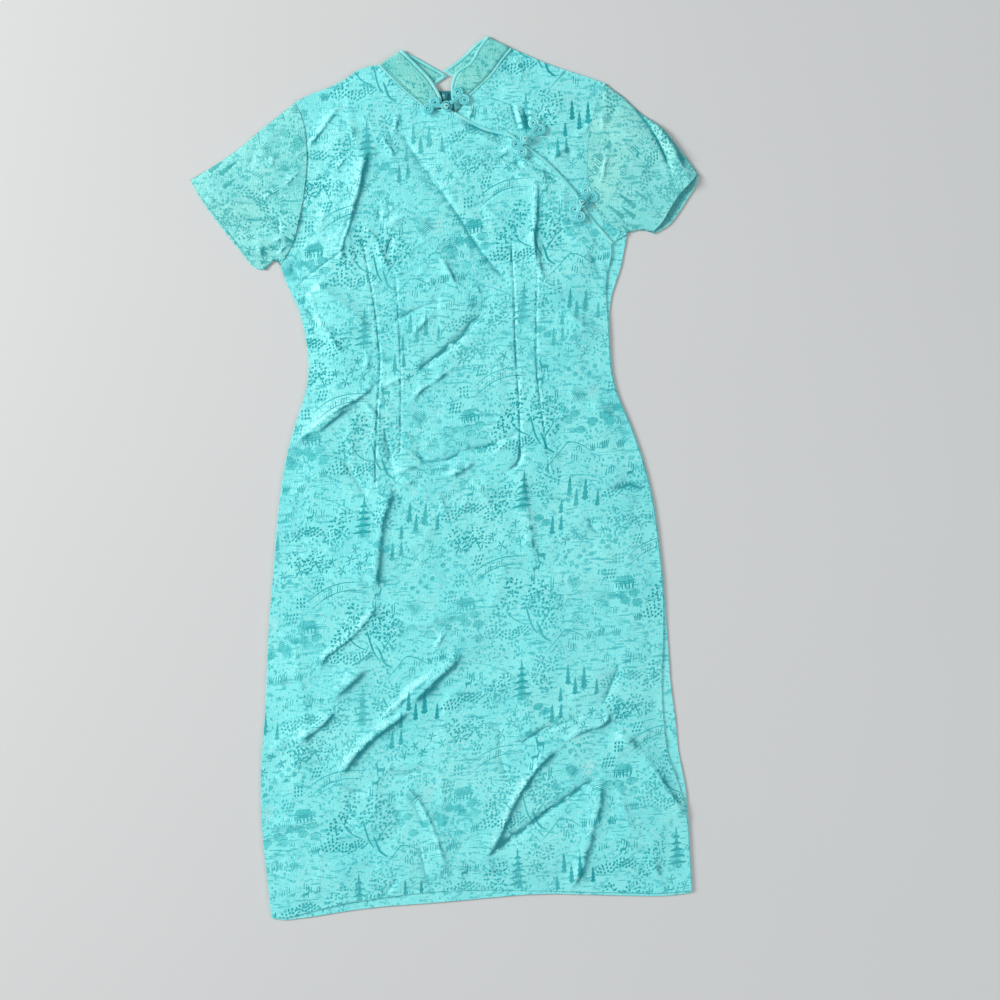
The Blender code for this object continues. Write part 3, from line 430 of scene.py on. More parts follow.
RIGHT_SLEEVE_CREASES = creases_of([
    ([(229, 460), (245, 441), (256, 427), (264, 414), (271, 400), (277, 385), (282, 370),
      (286, 354)], -5.5, 4, 5, 1.25),
    ([(240, 458), (262, 432), (280, 406), (290, 386), (299, 362)], 6.0, 9, 10, 1.6),
    ([(207, 478), (207, 466), (205, 452)], 1.6, 4, 4, 1.4),
    ([(199, 448), (201, 430), (200, 412)], 1.8, 4, 4, 1.4),
    ([(212, 456), (216, 446), (211, 436)], -1.4, 5, 5, 1.6),
    ([(206, 409), (222, 402), (244, 402)], 1.8, 5, 5, 1.5),
    ([(207, 398), (200, 375), (197, 360), (190, 347)], 2.2, 5, 5, 1.4),
    ([(204, 321), (232, 319), (250, 316), (268, 308)], 3.2, 6, 8, 1.4),
    ([(210, 313), (228, 301), (250, 299)], -2.6, 5, 5, 1.3),
    ([(232, 332), (250, 328), (266, 326)], 1.5, 6, 7, 1.6),
    ([(222, 384), (240, 372), (252, 352)], 1.2, 8, 8, 1.8),
])
# The back lies flat under the dress, with a few pressed creases of its own
BACK_CREASES = creases_of([
    ([(-150, 250), (-90, 214), (-40, 196)], 1.5, 6, 9, 1.3),
    ([(150, 236), (90, 196), (44, 184)], 1.5, 9, 6, 1.3),
    ([(-170, 70), (-100, 40), (-20, 46)], 1.4, 7, 6, 1.3),
    ([(190, 60), (120, 28), (24, 34)], 1.4, 6, 8, 1.3),
    ([(-60, -60), (-84, -160), (-120, -240)], 1.3, 9, 8, 1.4),
    ([(60, -80), (96, -190), (112, -290)], 1.3, 8, 9, 1.4),
    ([(-30, -300), (-110, -350), (-190, -420)], 1.6, 9, 12, 1.3),
    ([(40, -330), (110, -400), (160, -480)], 1.5, 11, 9, 1.3),
    ([(-190, -300), (-230, -360), (-250, -430)], 1.2, 8, 8, 1.5),
    ([(-120, 420), (-90, 370), (-96, 320)], 1.3, 6, 8, 1.4),
    ([(120, 440), (86, 390), (90, 330)], 1.3, 8, 6, 1.4),
    ([(-180, 330), (-140, 300), (-120, 270)], 1.2, 6, 6, 1.3),
    ([(190, 340), (160, 306), (150, 270)], 1.2, 6, 6, 1.3),
    ([(200, -60), (180, -130), (196, -200)], 1.1, 8, 8, 1.5),
])


# ---------------------------------------------------------------- height fields

FIELD_X = np.arange(-336, 337, FIELD_STEP)
FIELD_Y = np.arange(-566, 567, FIELD_STEP)
COARSE = 4
GRID_X, GRID_Y = np.meshgrid(FIELD_X, FIELD_Y)


class Field:
    """A height over the plan, kept on a regular grid."""

    def __init__(self, z):
        self.z = z
        self.slope_y, self.slope_x = np.gradient(z, FIELD_STEP)

    def pick(self, values, points):
        """The gridded values at points between the grid's own."""
        u = np.clip((points[:, 0] - FIELD_X[0]) / FIELD_STEP, 0, len(FIELD_X) - 1.001)
        v = np.clip((points[:, 1] - FIELD_Y[0]) / FIELD_STEP, 0, len(FIELD_Y) - 1.001)
        i = u.astype(int)
        j = v.astype(int)
        s = u - i
        t = v - j
        return ((values[j, i] * (1 - s) + values[j, i + 1] * s) * (1 - t)
                + (values[j + 1, i] * (1 - s) + values[j + 1, i + 1] * s) * t)

    def at(self, points):
        """Height at each point of the plan."""
        return self.pick(self.z, points)

    def normal(self, points):
        """Unit normal at each point of the plan."""
        slope_x = self.pick(self.slope_x, points)
        slope_y = self.pick(self.slope_y, points)
        return unit(np.stack([-slope_x, -slope_y, np.ones_like(slope_x)], axis=1))


def coarse_distance(lines):
    """Distance from the nearest of the lines, worked out on a coarse grid and filled in."""
    x = GRID_X[::COARSE, ::COARSE]
    y = GRID_Y[::COARSE, ::COARSE]
    best = np.full(x.shape, 1e9)
    for line in lines:
        best = np.minimum(best, away_from(x, y, line)[0])
    columns = np.array([np.interp(FIELD_X, x[0], row) for row in best])
    rows = np.array([np.interp(FIELD_Y, y[:, 0], column) for column in columns.T])
    return rows.T


def ripple(size, seed):
    """Smooth random waves of about that size, between -1 and 1 for the most part."""
    rng = np.random.default_rng(seed)
    nx = int(len(FIELD_X) * FIELD_STEP / size) + 3
    ny = int(len(FIELD_Y) * FIELD_STEP / size) + 3
    lattice = rng.uniform(-1, 1, (ny, nx))
    u = (FIELD_X - FIELD_X[0]) / size
    v = (FIELD_Y - FIELD_Y[0]) / size
    i = u.astype(int)
    j = v.astype(int)
    s = ease(u - i)[None, :]
    t = ease(v - j)[:, None]
    a = lattice[np.ix_(j, i)] * (1 - s) + lattice[np.ix_(j, i + 1)] * s
    b = lattice[np.ix_(j + 1, i)] * (1 - s) + lattice[np.ix_(j + 1, i + 1)] * s
    return a * (1 - t) + b * t


def window(line, reach):
    """The part of the grid that lies within reach of the line."""
    low = line.min(axis=0) - reach
    high = line.max(axis=0) + reach
    i = np.clip(np.searchsorted(FIELD_X, [low[0], high[0]]), 0, len(FIELD_X))
    j = np.clip(np.searchsorted(FIELD_Y, [low[1], high[1]]), 0, len(FIELD_Y))
    return slice(j[0], j[1]), slice(i[0], i[1])


def press(z, shade, creases):
    """Adds the creases to a height map, and paints shade into the troughs, darkest at their cores."""
    for number, c in enumerate(creases):
        line = smooth(c.line, 5)
        part = window(line, 2.7 * max(c.left, c.right))
        far, side, along = away_from(GRID_X[part], GRID_Y[part], line)
        total = lengths(line)[-1]
        half = CREASE_SPREAD * np.where(side > 0, c.left, c.right)
        fade = min(32.0, 0.36 * total)
        ends = ease(along / fade) * ease((total - along) / fade)
        beat = 1 + 0.10 * np.sin(along / 13.0 + number) + 0.04 * np.sin(along / 4.7 + 2 * number)
        profile = np.exp(-(far / half) ** (c.crest * CREASE_CREST)) * ends * beat
        z[part] += CREASE_HEIGHT * c.height * profile
        # painted shade in each trough, darkest along its core
        if c.height < 0:
            depth = np.exp(-(far / (0.8 * half)) ** 1.6)
            narrow = np.exp(-(far / 2.2) ** 2)
            painted_trough_shade = (0.45 * depth + 0.5 * narrow) * ends * min(1.0, -c.height / 4.5)
            shade[part] = np.maximum(shade[part], painted_trough_shade)
    return z


def groove(z, shade, grooves):
    """Adds pressed seams: a narrow groove with low banks and a faint pucker, and painted shade along the
    groove.
    """
    for g in grooves:
        line = smooth(g.line, 6)
        part = window(line, 12)
        far, _, along = away_from(GRID_X[part], GRID_Y[part], line)
        ends = ease(along / 12) * ease((lengths(line)[-1] - along) / 12)
        pucker = 0.22 * np.sin(along / 2.9 + np.sin(along / 17.0)) * np.exp(-(far / 6.0) ** 2)
        z[part] += ends * (pucker - 0.7 * g.depth * np.exp(-(far / g.half) ** 2)
                           + 0.25 * g.depth * np.exp(-((far - 3.0) / 2.4) ** 2))
        # painted shade along the seam's groove
        shade[part] = np.maximum(shade[part], 0.55 * ends * np.exp(-(far / (g.half + 0.2)) ** 2))
    return z


def soft_floor(z, low):
    """The heights, with those that would fall below the low one eased up to it."""
    t = np.clip((z - low) / FLOOR_EASE, -30, 30)
    return low + FLOOR_EASE * np.log1p(np.exp(t))


def painted_flank_shade(field):
    """How much painted shade a flank gets where it leans away from the key light."""
    lean = KEY_LIGHT_PLAN[0] * field.slope_x + KEY_LIGHT_PLAN[1] * field.slope_y
    return 0.9 * ease((lean - 0.09) / 0.42)


def painted_flank_highlight(field):
    """How much painted highlight a flank gets where it leans towards the key light."""
    lean = -KEY_LIGHT_PLAN[0] * field.slope_x - KEY_LIGHT_PLAN[1] * field.slope_y
    return 0.8 * ease((lean - 0.08) / 0.40)


def crumple(size, seed):
    """Thin ridges that meet in a net, as in cloth that has been packed away."""
    return (1 - np.abs(np.clip(1.6 * ripple(size, seed), -1, 1))) ** 5


WAVES = (0.9 * ripple(74, 3) + 0.75 * ripple(34, 5) + 0.42 * ripple(17, 8) + 0.14 * ripple(8, 13)
         + 0.04 * ripple(4, 21))
UNEVEN = ease(0.5 + 0.9 * ripple(110, 31))
WAVES += (1.5 * crumple(86, 41) - 1.1 * crumple(70, 43)) * (0.25 + 0.75 * UNEVEN)
WAVES += (0.7 * crumple(40, 47) - 0.5 * crumple(34, 53)) * (1.0 - 0.7 * UNEVEN)
SEAM_FAR = coarse_distance([SIDE_LEFT, SIDE_RIGHT, HEM, ARM_LEFT, ARM_RIGHT] + SHOULDERS)
CLOSING_FAR = coarse_distance([CLOSING])
LIFT = ease(SEAM_FAR / CROWN_REACH)
NEAR = ease(SEAM_FAR / 9.0)

front_shade = np.zeros_like(GRID_X)
front_z = SEAM_TOP + CROWN * LIFT + 0.9 * WAVES * NEAR
lap = ease((LAP_WIDTH + LAP_RAMP - CLOSING_FAR) / LAP_RAMP)
front_z += LAP_LIFT * lap
front_z = press(front_z, front_shade, FRONT_CREASES)
front_z = groove(front_z, front_shade, GROOVES)
front_z = soft_floor(front_z, SEAM_TOP + THINNEST)
front_field = Field(front_z)
# painted shade on the front's flanks turned away from the key light
front_shade = np.maximum(front_shade, painted_flank_shade(front_field))

yoke_shade = np.zeros_like(GRID_X)
yoke_z = SEAM_TOP + CROWN * LIFT * 0.8 + 0.8 * WAVES * NEAR
yoke_z = press(yoke_z, yoke_shade, YOKE_CREASES)
yoke_z = soft_floor(yoke_z, SEAM_TOP + THINNEST)
under_front = away_from(GRID_X[::COARSE, ::COARSE], GRID_Y[::COARSE, ::COARSE], CLOSING)[1] < 0
under_front = np.kron(under_front, np.ones((COARSE, COARSE)))[:GRID_X.shape[0], :GRID_X.shape[1]]
inside_lap = ease((CLOSING_FAR * np.where(under_front > 0, 1, -1) + 6) / 8)
yoke_z = yoke_z * (1 - inside_lap) + np.minimum(yoke_z, front_z - WALL - GAP) * inside_lap
yoke_field = Field(yoke_z)
# painted shade on the yoke's flanks turned away from the key light
yoke_shade = np.maximum(yoke_shade, painted_flank_shade(yoke_field))

back_shade = np.zeros_like(GRID_X)
back_z = press(0.3 * (1 + WAVES[::-1, :]), back_shade, BACK_CREASES)
back_outer = Field(back_z)
back_inner = Field(back_z + WALL)


# ---------------------------------------------------------------- the figure of the cloth

def direction(degrees):
    """Cosine and sine of an angle in degrees."""
    return math.cos(math.radians(degrees)), math.sin(math.radians(degrees))


def block(x, half, low, high):
    """An upright rectangle with its middle at x."""
    return [(x - half, low), (x + half, low), (x + half, high), (x - half, high)]


def petal(x, y, length, width, angle):
    """One leaf, with its stalk at x, y."""
    shape = [(0, 0), (0.3, 0.42), (0.68, 0.5), (1, 0.12), (0.98, -0.2), (0.64, -0.5), (0.26, -0.4)]
    c, s = direction(angle)
    return DARK, [(x + c * a * length - s * b * width, y + s * a * length + c * b * width)
                  for a, b in shape]


def spray(x, y, size, turn):
    """A round cluster of leaves in two rings."""
    made = []
    for ring, share in ((9, 0.50), (5, 0.24)):
        for k in range(ring):
            angle = turn + 360.0 * k / ring + 90 * share
            c, s = direction(angle)
            r = size * (share + 0.07 * math.sin(3.0 * k + turn))
            leaf = size * (0.27 + 0.05 * math.sin(5.0 * k + turn))
            made.append(petal(x + r * c, y + r * s, leaf, 0.66 * leaf, angle + 25))
    return made


def strip(points, width, kind=DARK, taper=0.4):
    """A stripe along a line, narrower towards its ends."""
    line = smooth(points, 6)
    t = np.linspace(-1, 1, len(line))
    half = 0.5 * width * (1 - (1 - taper) * t ** 2)
    side = across(line) * half[:, None]
    return kind, [tuple(p) for p in np.vstack([line + side, (line - side)[::-1]])]


def disc(x, y, rx, ry, lobes, sides):
    """A round spot, or with lobes a scalloped one."""
    made = []
    for k in range(sides):
        a = 2 * math.pi * k / sides
        r = 1 + 0.13 * math.cos(lobes * a) if lobes else 1
        made.append((x + rx * r * math.cos(a), y + ry * r * math.sin(a)))
    return MID, made


def cloud(x, y, rx, ry):
    """A flat scalloped puff with a rim on its upper side."""
    rim = [(x + 1.16 * rx * math.cos(a), y + 1.2 * ry * math.sin(a))
           for a in np.linspace(-0.35, math.pi + 0.35, 7)]
    return [disc(x, y, rx, ry, 5, 13), strip(rim, 0.9)]


def scale(x, y, r):
    """A small round scallop with a light rim."""
    rim = [(x + r * math.cos(a), y + r * math.sin(a)) for a in np.linspace(0.2, math.pi - 0.2, 5)]
    return [disc(x, y, 0.8 * r, 0.8 * r, 0, 9), strip(rim, 0.9, PALE)]


def fir(x, y, height, width):
    """A slim conical tree with jagged sides, on its foot."""
    side = []
    for low in (0.0, 0.25, 0.5, 0.75):
        w = 0.5 * width * (1 - 0.8 * low)
        side += [(w, height * (0.1 + 0.9 * low)), (0.5 * w, height * (0.22 + 0.9 * low))]
    side = [(0.8, 0)] + side[:-1]
    left = [(x - a, y + b) for a, b in side]
    right = [(x + a, y + b) for a, b in side]
    return [(DARK, left + [(x, y + height)] + right[::-1])]


def tower(x, y, height):
    """A tapering tower of five curved roofs and a spire."""
    made = []
    for k in range(5):
        w = 13.0 - 2.0 * k
        base = y + height * (0.12 + 0.155 * k)
        low = base - height * 0.1
        eaves = [(-w, 1.4), (-0.72 * w, 0.2), (0, 0), (0.72 * w, 0.2), (w, 1.4)]
        ridge = [(0.5 * w, 3.0), (0.22 * w, 4.4), (-0.22 * w, 4.4), (-0.5 * w, 3.0)]
        made += [(DARK, [(x + a, base + b) for a, b in eaves + ridge]),
                 (MID, block(x, 0.42 * w, low, base - 0.3)),
                 (DARK, block(x, 0.6, low, base - 0.4))]
    top = y + height * 0.83
    made.append((DARK, [(x - 1.3, top), (x + 1.3, top), (x + 0.4, y + height), (x - 0.4, y + height)]))
    return made


def hatch(x, y, count, length, pitch, angle, bend, kind=DARK, width=1.0):
    """Curved stripes side by side, as terraces are drawn."""
    made = []
    c, s = direction(angle)
    for k in range(count):
        off = pitch * k
        size = length * (1 - 0.05 * k)
        line = [(-0.5 * size, off), (0.0, off + bend), (0.5 * size, off)]
        made.append(strip([(x + c * a - s * b, y + s * a + c * b) for a, b in line], width, kind))
    return made


def shell(x, y, count, r0, pitch, low, high):
    """Arcs round one centre."""
    made = []
    for k in range(count):
        r = r0 + pitch * k
        made.append(strip([(x + r * math.cos(a), y + r * math.sin(a))
                           for a in np.radians(np.linspace(low, high, 5))], 0.9))
    return made


def reeds(x, y, count, height, kind=DARK):
    """Blades that fan out from one foot."""
    made = []
    for k in range(count):
        lean = k - 0.5 * (count - 1)
        made.append(strip([(x + 1.7 * lean, y), (x + 2.0 * lean, y + 0.5 * height),
                           (x + 2.9 * lean, y + height * (1 - 0.06 * lean * lean))], 1.5, kind, 0.5))
    return made


def dashes(x, y, count, height, drop=1.2):
    """Short upright strokes in a row."""
    return [strip([(x + 3.0 * k, y - drop * k), (x + 3.0 * k + 0.4, y - drop * k + height)], 1.7,
                  DARK, 0.6) for k in range(count)]


def ripples(x, y, count, length):
    """Level strokes of water, one below the other."""
    made = []
    for k in range(count):
        left = x + 4.0 * math.sin(2.3 * k)
        made.append(strip([(left, y - 3.2 * k), (left + 0.5 * length, y - 3.2 * k + 0.5),
                           (left + length * (1 - 0.12 * k), y - 3.2 * k)], 0.8, MID))
    return made


def bush(x, y, size, turn):
    """Rows of leaves that fan out, heart shaped."""
    made = []
    for row in range(3):
        r = size * (0.3 + 0.3 * row)
        count = 3 + 2 * row
        for k in range(count):
            a = turn + 25 + 130.0 * (k + 0.5) / count
            c, s = direction(a)
            made.append(petal(x + r * c, y + r * s, 3.8, 2.5, a - 35 + 12 * row))
    return made


def deer(x, y, size, turn):
    """A standing deer, seen from the side."""
    body = [(-5, 0), (-5.4, 3), (-2, 4.2), (2.6, 4.2), (4.6, 8), (4.4, 10.4), (6.4, 10.8), (8.2, 9.4),
            (6.4, 8.2), (5.6, 4), (4.6, 0.6), (4.4, -5), (3.3, -5), (3.1, 0), (-2.2, -0.4),
            (-3.2, -5.4), (-4.3, -5.4), (-4.2, -0.4)]
    horn = [(4.8, 10.4), (3.8, 13.6), (6.0, 15.2), (5.0, 13.4), (5.6, 10.8)]
    return [(DARK, [(x + turn * size * a, y + size * b) for a, b in part]) for part in (body, horn)]


def star(x, y, size, turn):
    """A small flower of five narrow petals."""
    return [petal(x, y, size, 1.5, turn + 60.0 * k + 6 * (k % 2)) for k in range(5)]


def house(x, y, width):
    """A roof with its tiles, on five posts."""
    roof = [(-0.6 * width, 7), (0.6 * width, 7), (0.34 * width, 14), (-0.34 * width, 14)]
    made = [(MID, [(x + a, y + b) for a, b in roof]),
            strip([(x - 0.66 * width, y + 7.6), (x, y + 6.6), (x + 0.66 * width, y + 7.6)], 1.3)]
    made += [strip([(x + 0.3 * width * k, y + 8), (x + 0.2 * width * k, y + 13.6)], 0.9)
             for k in (-1.6, -0.8, 0, 0.8, 1.6)]
    made += [(DARK, block(x + 0.24 * width * k, 0.8, y, y + 6)) for k in (-2, -1, 0, 1, 2)]
    return made


def one_repeat():
    """Everything in one repeat: a landscape of trees, towers, bridges, clouds and water."""
    made = []
    made += tower(83, 4, 52)
    for x, y, height, width in ((141, 16, 26, 8), (150, 3, 23, 8), (161, 9, 29, 9), (177, 0, 21, 7),
                                (132, -4, 19, 7), (122, 206, 24, 8), (133, 210, 20, 7)):
        made += fir(x, y, height, width)
    made += deer(110, 180, 1.0, -1) + deer(104, 165, 0.8, 1) + deer(16, 36, 0.75, 1)
    for x, y, size, turn in ((75, 148, 15, 10), (60, 120, 15, 40), (71, 133, 14, 80), (52, 110, 13, 15),
                             (105, 143, 15, 30), (116, 133, 15, 65), (108, 119, 15, 5),
                             (117, 105, 14, 45), (94, 126, 13, 20), (128, 121, 13, 70)):
        made += spray(x, y, size, turn)
    made += [strip([(90, 122), (93, 110), (97, 96), (103, 86)], 2.2, DARK, 0.7),
             strip([(103, 100), (107, 90), (111, 80), (120, 73)], 2.8, DARK, 0.7),
             strip([(66, 118), (76, 106), (90, 98)], 1.5, DARK, 0.6),
             strip([(120, 112), (112, 100), (107, 92)], 1.5, DARK, 0.6),
             strip([(86, 66), (100, 76), (116, 72), (134, 66)], 1.2, MID)]
    made += bush(48, 84, 15, 6) + bush(66, 80, 14, -10) + bush(84, 84, 12, 4)
    made += reeds(30, 86, 5, 10) + reeds(9, 84, 6, 9, MID) + reeds(203, 70, 5, 10)
    made += reeds(184, 72, 4, 10) + reeds(168, 70, 3, 9)
    for x, y, rx, ry in ((-12, 110, 6, 4.4), (-1, 120, 5.5, 4), (10, 119, 6, 4.2), (15, 112, 5.6, 4.2),
                         (26, 121, 6.4, 4.2), (30, 108, 6, 4.6), (168, 106, 6, 4.6), (183, 112, 6, 4.4),
                         (190, 104, 6.4, 4.8), (153, 97, 6, 4), (136, 112, 5, 5), (132, 124, 5, 4.4),
                         (146, 118, 5.4, 4)):
        made += cloud(x, y, rx, ry)
    for x, y, r in ((-14, 190, 4.2), (-6, 196, 4), (2, 189, 4.2), (-8, 183, 3.6), (8, 197, 3.8),
                    (148, 168, 4.2), (158, 174, 4.4), (166, 168, 4), (155, 162, 3.6), (173, 176, 4),
                    (140, 175, 3.8), (163, 181, 3.6), (14, 184, 3.4), (22, 192, 3.6)):
        made += scale(x, y, r)
    made += hatch(158, 137, 8, 17, 2.4, 42, 1.8) + hatch(173, 138, 4, 16, 2.6, 60, -1.6, PALE)
    made += shell(188, 130, 6, 4, 2.3, 200, 330) + hatch(-24, 144, 5, 18, 2.5, 52, 1.6, PALE, 1.1)
    made += hatch(-46, 138, 6, 15, 2.3, 48, 1.5) + hatch(0, 128, 5, 14, 2.6, 84, 1.2, MID)
    made += [strip([(18, 168), (36, 180), (60, 186), (92, 184)], 1.2),
             strip([(20, 163), (38, 175), (61, 181), (90, 179)], 0.9, PALE),
             strip([(22, 158), (40, 170), (62, 176), (88, 174)], 1.2),
             strip([(24, 153), (42, 165), (62, 171), (78, 170)], 0.9, MID)]
    made += dashes(40, 168, 3, 7, -2.2) + dashes(54, 176, 3, 6, -0.6)
    made += house(15, 130, 22) + house(216, 127, 18)
    made += [petal(24 + 4.2 * (k % 3) + 1.5 * (k // 3), 182 + 4.6 * (k // 3), 3.6, 2.4, 70)
             for k in range(9)]
    made += [petal(4 + 4.2 * (k % 3), 160 + 4.8 * (k // 3), 3.8, 2.5, 100) for k in range(9)]
    made += [petal(188 + 4.0 * (k % 4) + (k // 4), 142 + 4.6 * (k // 4), 3.8, 2.4, 60)
             for k in range(12)]
    made += ripples(20, 80, 5, 24) + ripples(184, 94, 3, 26) + ripples(170, 66, 3, 22)
    made += ripples(118, 96, 3, 20)
    made += dashes(-52, 72, 3, 6) + dashes(-26, 72, 3, 7, 0.4) + dashes(14, 44, 4, 8, 2.0)
    made += dashes(30, 38, 2, 8, 1.0) + dashes(142, 62, 3, 8, 1.6) + dashes(186, 38, 4, 7, -1.0)
    made += dashes(122, 140, 2, 12, 1.0) + dashes(98, 150, 2, 10, 0.5) + dashes(0, 100, 2, 6)
    made += [strip([(20, 62), (40, 56), (66, 42), (78, 30)], 1.1, MID),
             strip([(-6, 42), (10, 46), (26, 40), (40, 28)], 1.1, MID),
             strip([(112, 58), (126, 72), (138, 84), (152, 80), (166, 70)], 1.2, DARK),
             strip([(118, 56), (136, 66), (152, 60)], 0.9, PALE),
             strip([(126, 36), (150, 42), (176, 38), (200, 44)], 1.1, MID),
             strip([(-60, 22), (-44, 34), (-20, 30), (-4, 22)], 1.1, MID),
             strip([(120, 190), (136, 178), (150, 184)], 1.1, MID)]
    for x, y, size, turn in ((50, 24, 14, 10), (58, 14, 12, 60), (44, 8, 12, 30), (104, 30, 12, 0),
                             (112, 20, 13, 40), (122, 44, 12, 20), (106, 50, 11, 70), (62, 34, 11, 15)):
        made += spray(x, y, size, turn)
    made += bush(196, 6, 14, 10) + bush(214, 12, 13, -8) + bush(22, 10, 13, 0)
    for x, y, size, turn in ((70, 214, 7, 10), (82, 206, 6.5, 40), (60, 202, 7, 70), (92, 216, 6.5, 5),
                             (76, 226, 6, 30), (140, 196, 6.5, 20), (152, 206, 6, 60), (162, 196, 6.5, 0),
                             (48, 214, 6, 35), (172, 214, 6, 15), (186, 204, 6.5, 50)):
        made += star(x, y, size, turn)
    for x, y, size, turn in ((26, 222, 13, 30), (14, 212, 13, 70), (36, 210, 12, 10), (198, 222, 13, 45),
                             (208, 210, 12, 20)):
        made += spray(x, y, size, turn)
    made += [strip([(14, 200), (20, 208), (30, 216)], 1.6), strip([(34, 198), (30, 208), (22, 220)], 1.4),
             strip([(200, 198), (206, 208), (200, 220)], 1.5)]
    made += cloud(104, 228, 6, 4) + cloud(114, 221, 5.4, 4) + cloud(94, 196, 5, 3.8)
    return made


FIGURE = one_repeat()


def figure_over(outline, origin, turn=0.0):
    """The repeats that fall within an outline, laid on the cloth's own grain."""
    low = outline.min(axis=0)
    high = outline.max(axis=0)

    def misses(p):
        """Whether the points all lie off one side of the outline's box."""
        return (p.max(axis=0) < low).any() or (p.min(axis=0) > high).any()

    c, s = direction(turn)
    along = np.array([c - s * FIGURE_CLIMB, s + c * FIGURE_CLIMB])
    up = np.array([c * FIGURE_LEAN - s, s * FIGURE_LEAN + c])
    made = []
    for i in range(-6, 7):
        for j in range(-6, 7):
            start = np.array(origin) + along * REPEAT_X * i + up * REPEAT_Y * j
            if misses(np.array([start + along * a + up * b for a in (-70, 230) for b in (-10, 250)])):
                continue
            for kind, shape in FIGURE:
                p = np.array(shape)
                q = start + p[:, :1] * along + p[:, 1:] * up
                # cloth is never quite true to its grain
                q = q + np.stack([2.2 * np.sin(q[:, 1] / 47.0 + 1.0), 2.0 * np.sin(q[:, 0] / 53.0)],
                                 axis=1)
                if not misses(q):
                    made.append((kind, q))
    return made


# ---------------------------------------------------------------- plan outlines from the frame

def open_loops(edges):
    """Loops of the directed edges that have no opposite among them."""
    after = {a: b for a, b in edges if (b, a) not in edges}
    loops = []
    while after:
        at = next(iter(after))
        loop = []
        while at in after:
            loop.append(at)
            at = after.pop(at)
        loops.append(loop)
    return loops


def plan_loops(node):
    """Outlines of a panel's upper side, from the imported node, the longest first."""
    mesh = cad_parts[node].data
    place = [(round(v.co.x / MM, 2), round(v.co.y / MM, 2)) for v in mesh.vertices]
    edges = {}
    for face in mesh.polygons:
        if face.normal.z >= FACING_UP:
            ids = [place[i] for i in face.vertices]
            edges.update(dict.fromkeys(zip(ids, ids[1:] + ids[:1])))
    return sorted([np.array(loop) for loop in open_loops(edges)], key=len, reverse=True)


def rounded(loop):
    """The loop again with points close together, smooth except at its corners."""
    loop = np.array([p for k, p in enumerate(loop) if np.hypot(*(p - loop[k - 1])) > 0.6])
    n = len(loop)
    sharp = []
    for k in range(n):
        a = loop[k] - loop[k - 1]
        b = loop[(k + 1) % n] - loop[k]
        turn = math.degrees(math.atan2(a[0] * b[1] - a[1] * b[0], a @ b))
        if abs(turn) > CORNER or max(np.hypot(*a), np.hypot(*b)) > LONG_EDGE:
            sharp.append(k)
    if not sharp:
        return smooth(np.vstack([loop, loop[:1]]))[:-1]
    made = []
    for k, start in enumerate(sharp):
        end = sharp[(k + 1) % len(sharp)]
        ids = [(start + m) % n for m in range(((end - start) % n or n) + 1)]
        made.append(smooth(loop[ids])[:-1])
    return np.vstack(made)


def inside(points, loop):
    """Which of the points lie inside the loop."""
    x = points[:, 0]
    y = points[:, 1]
    result = np.zeros(len(points), bool)
    for a, b in zip(loop, np.roll(loop, -1, axis=0)):
        if a[1] == b[1]:
            continue
        crosses = (a[1] > y) != (b[1] > y)
        result ^= crosses & (x < a[0] + (b[0] - a[0]) * (y - a[1]) / (b[1] - a[1]))
    return result


def thinned(points, clear):
    """One point from each little cell, the first one given."""
    cells = np.round(points / clear).astype(int)
    _, first = np.unique(cells, axis=0, return_index=True)
    return points[np.sort(first)]


def grid_over(outline, step):
    """Points in staggered rows over the outline's box."""
    low = outline.min(axis=0)
    high = outline.max(axis=0)
    rows = np.arange(low[1] + 0.5 * step, high[1], step * 0.866)
    points = []
    for k, y in enumerate(rows):
        x = np.arange(low[0] + step * (0.5 + 0.5 * (k % 2)), high[0], step)
        points.append(np.stack([x, np.full_like(x, y)], axis=1))
    return np.vstack(points)


def inner_points(outline, parts, clear, margin):
    """The points that lie inside the outline by the margin, and not too close together."""
    points = thinned(np.vstack(parts), clear)
    points = points[inside(points, outline)]
    far = away_from(points[:, 0], points[:, 1], np.vstack([outline, outline[:1]]))[0]
    return points[far > margin]


def crease_points(creases, grooves=()):
    """Rows of points along each crease and seam and beside it."""
    points = [np.zeros((0, 2))]
    for c in creases:
        line = smooth(c.line, 5)
        line = even(line, max(2, int(lengths(line)[-1] / 3.4)))
        points.append(line)
        for share in (0.4, 0.95, 1.8):
            points += [shifted(line, share * c.left), shifted(line, -share * c.right)]
    for g in grooves:
        line = smooth(g.line, 6)
        line = even(line, max(2, int(lengths(line)[-1] / 3.0)))
        points += [line] + [shifted(line, off) for off in (-1.1, 1.1, -2.6, 2.6)]
    return np.vstack(points)


# ---------------------------------------------------------------- meshes

def turns_right(shape):
    """Whether the outline runs clockwise."""
    x, y = np.asarray(shape).T
    return float((x * np.roll(y, -1) - np.roll(x, -1) * y).sum()) < 0


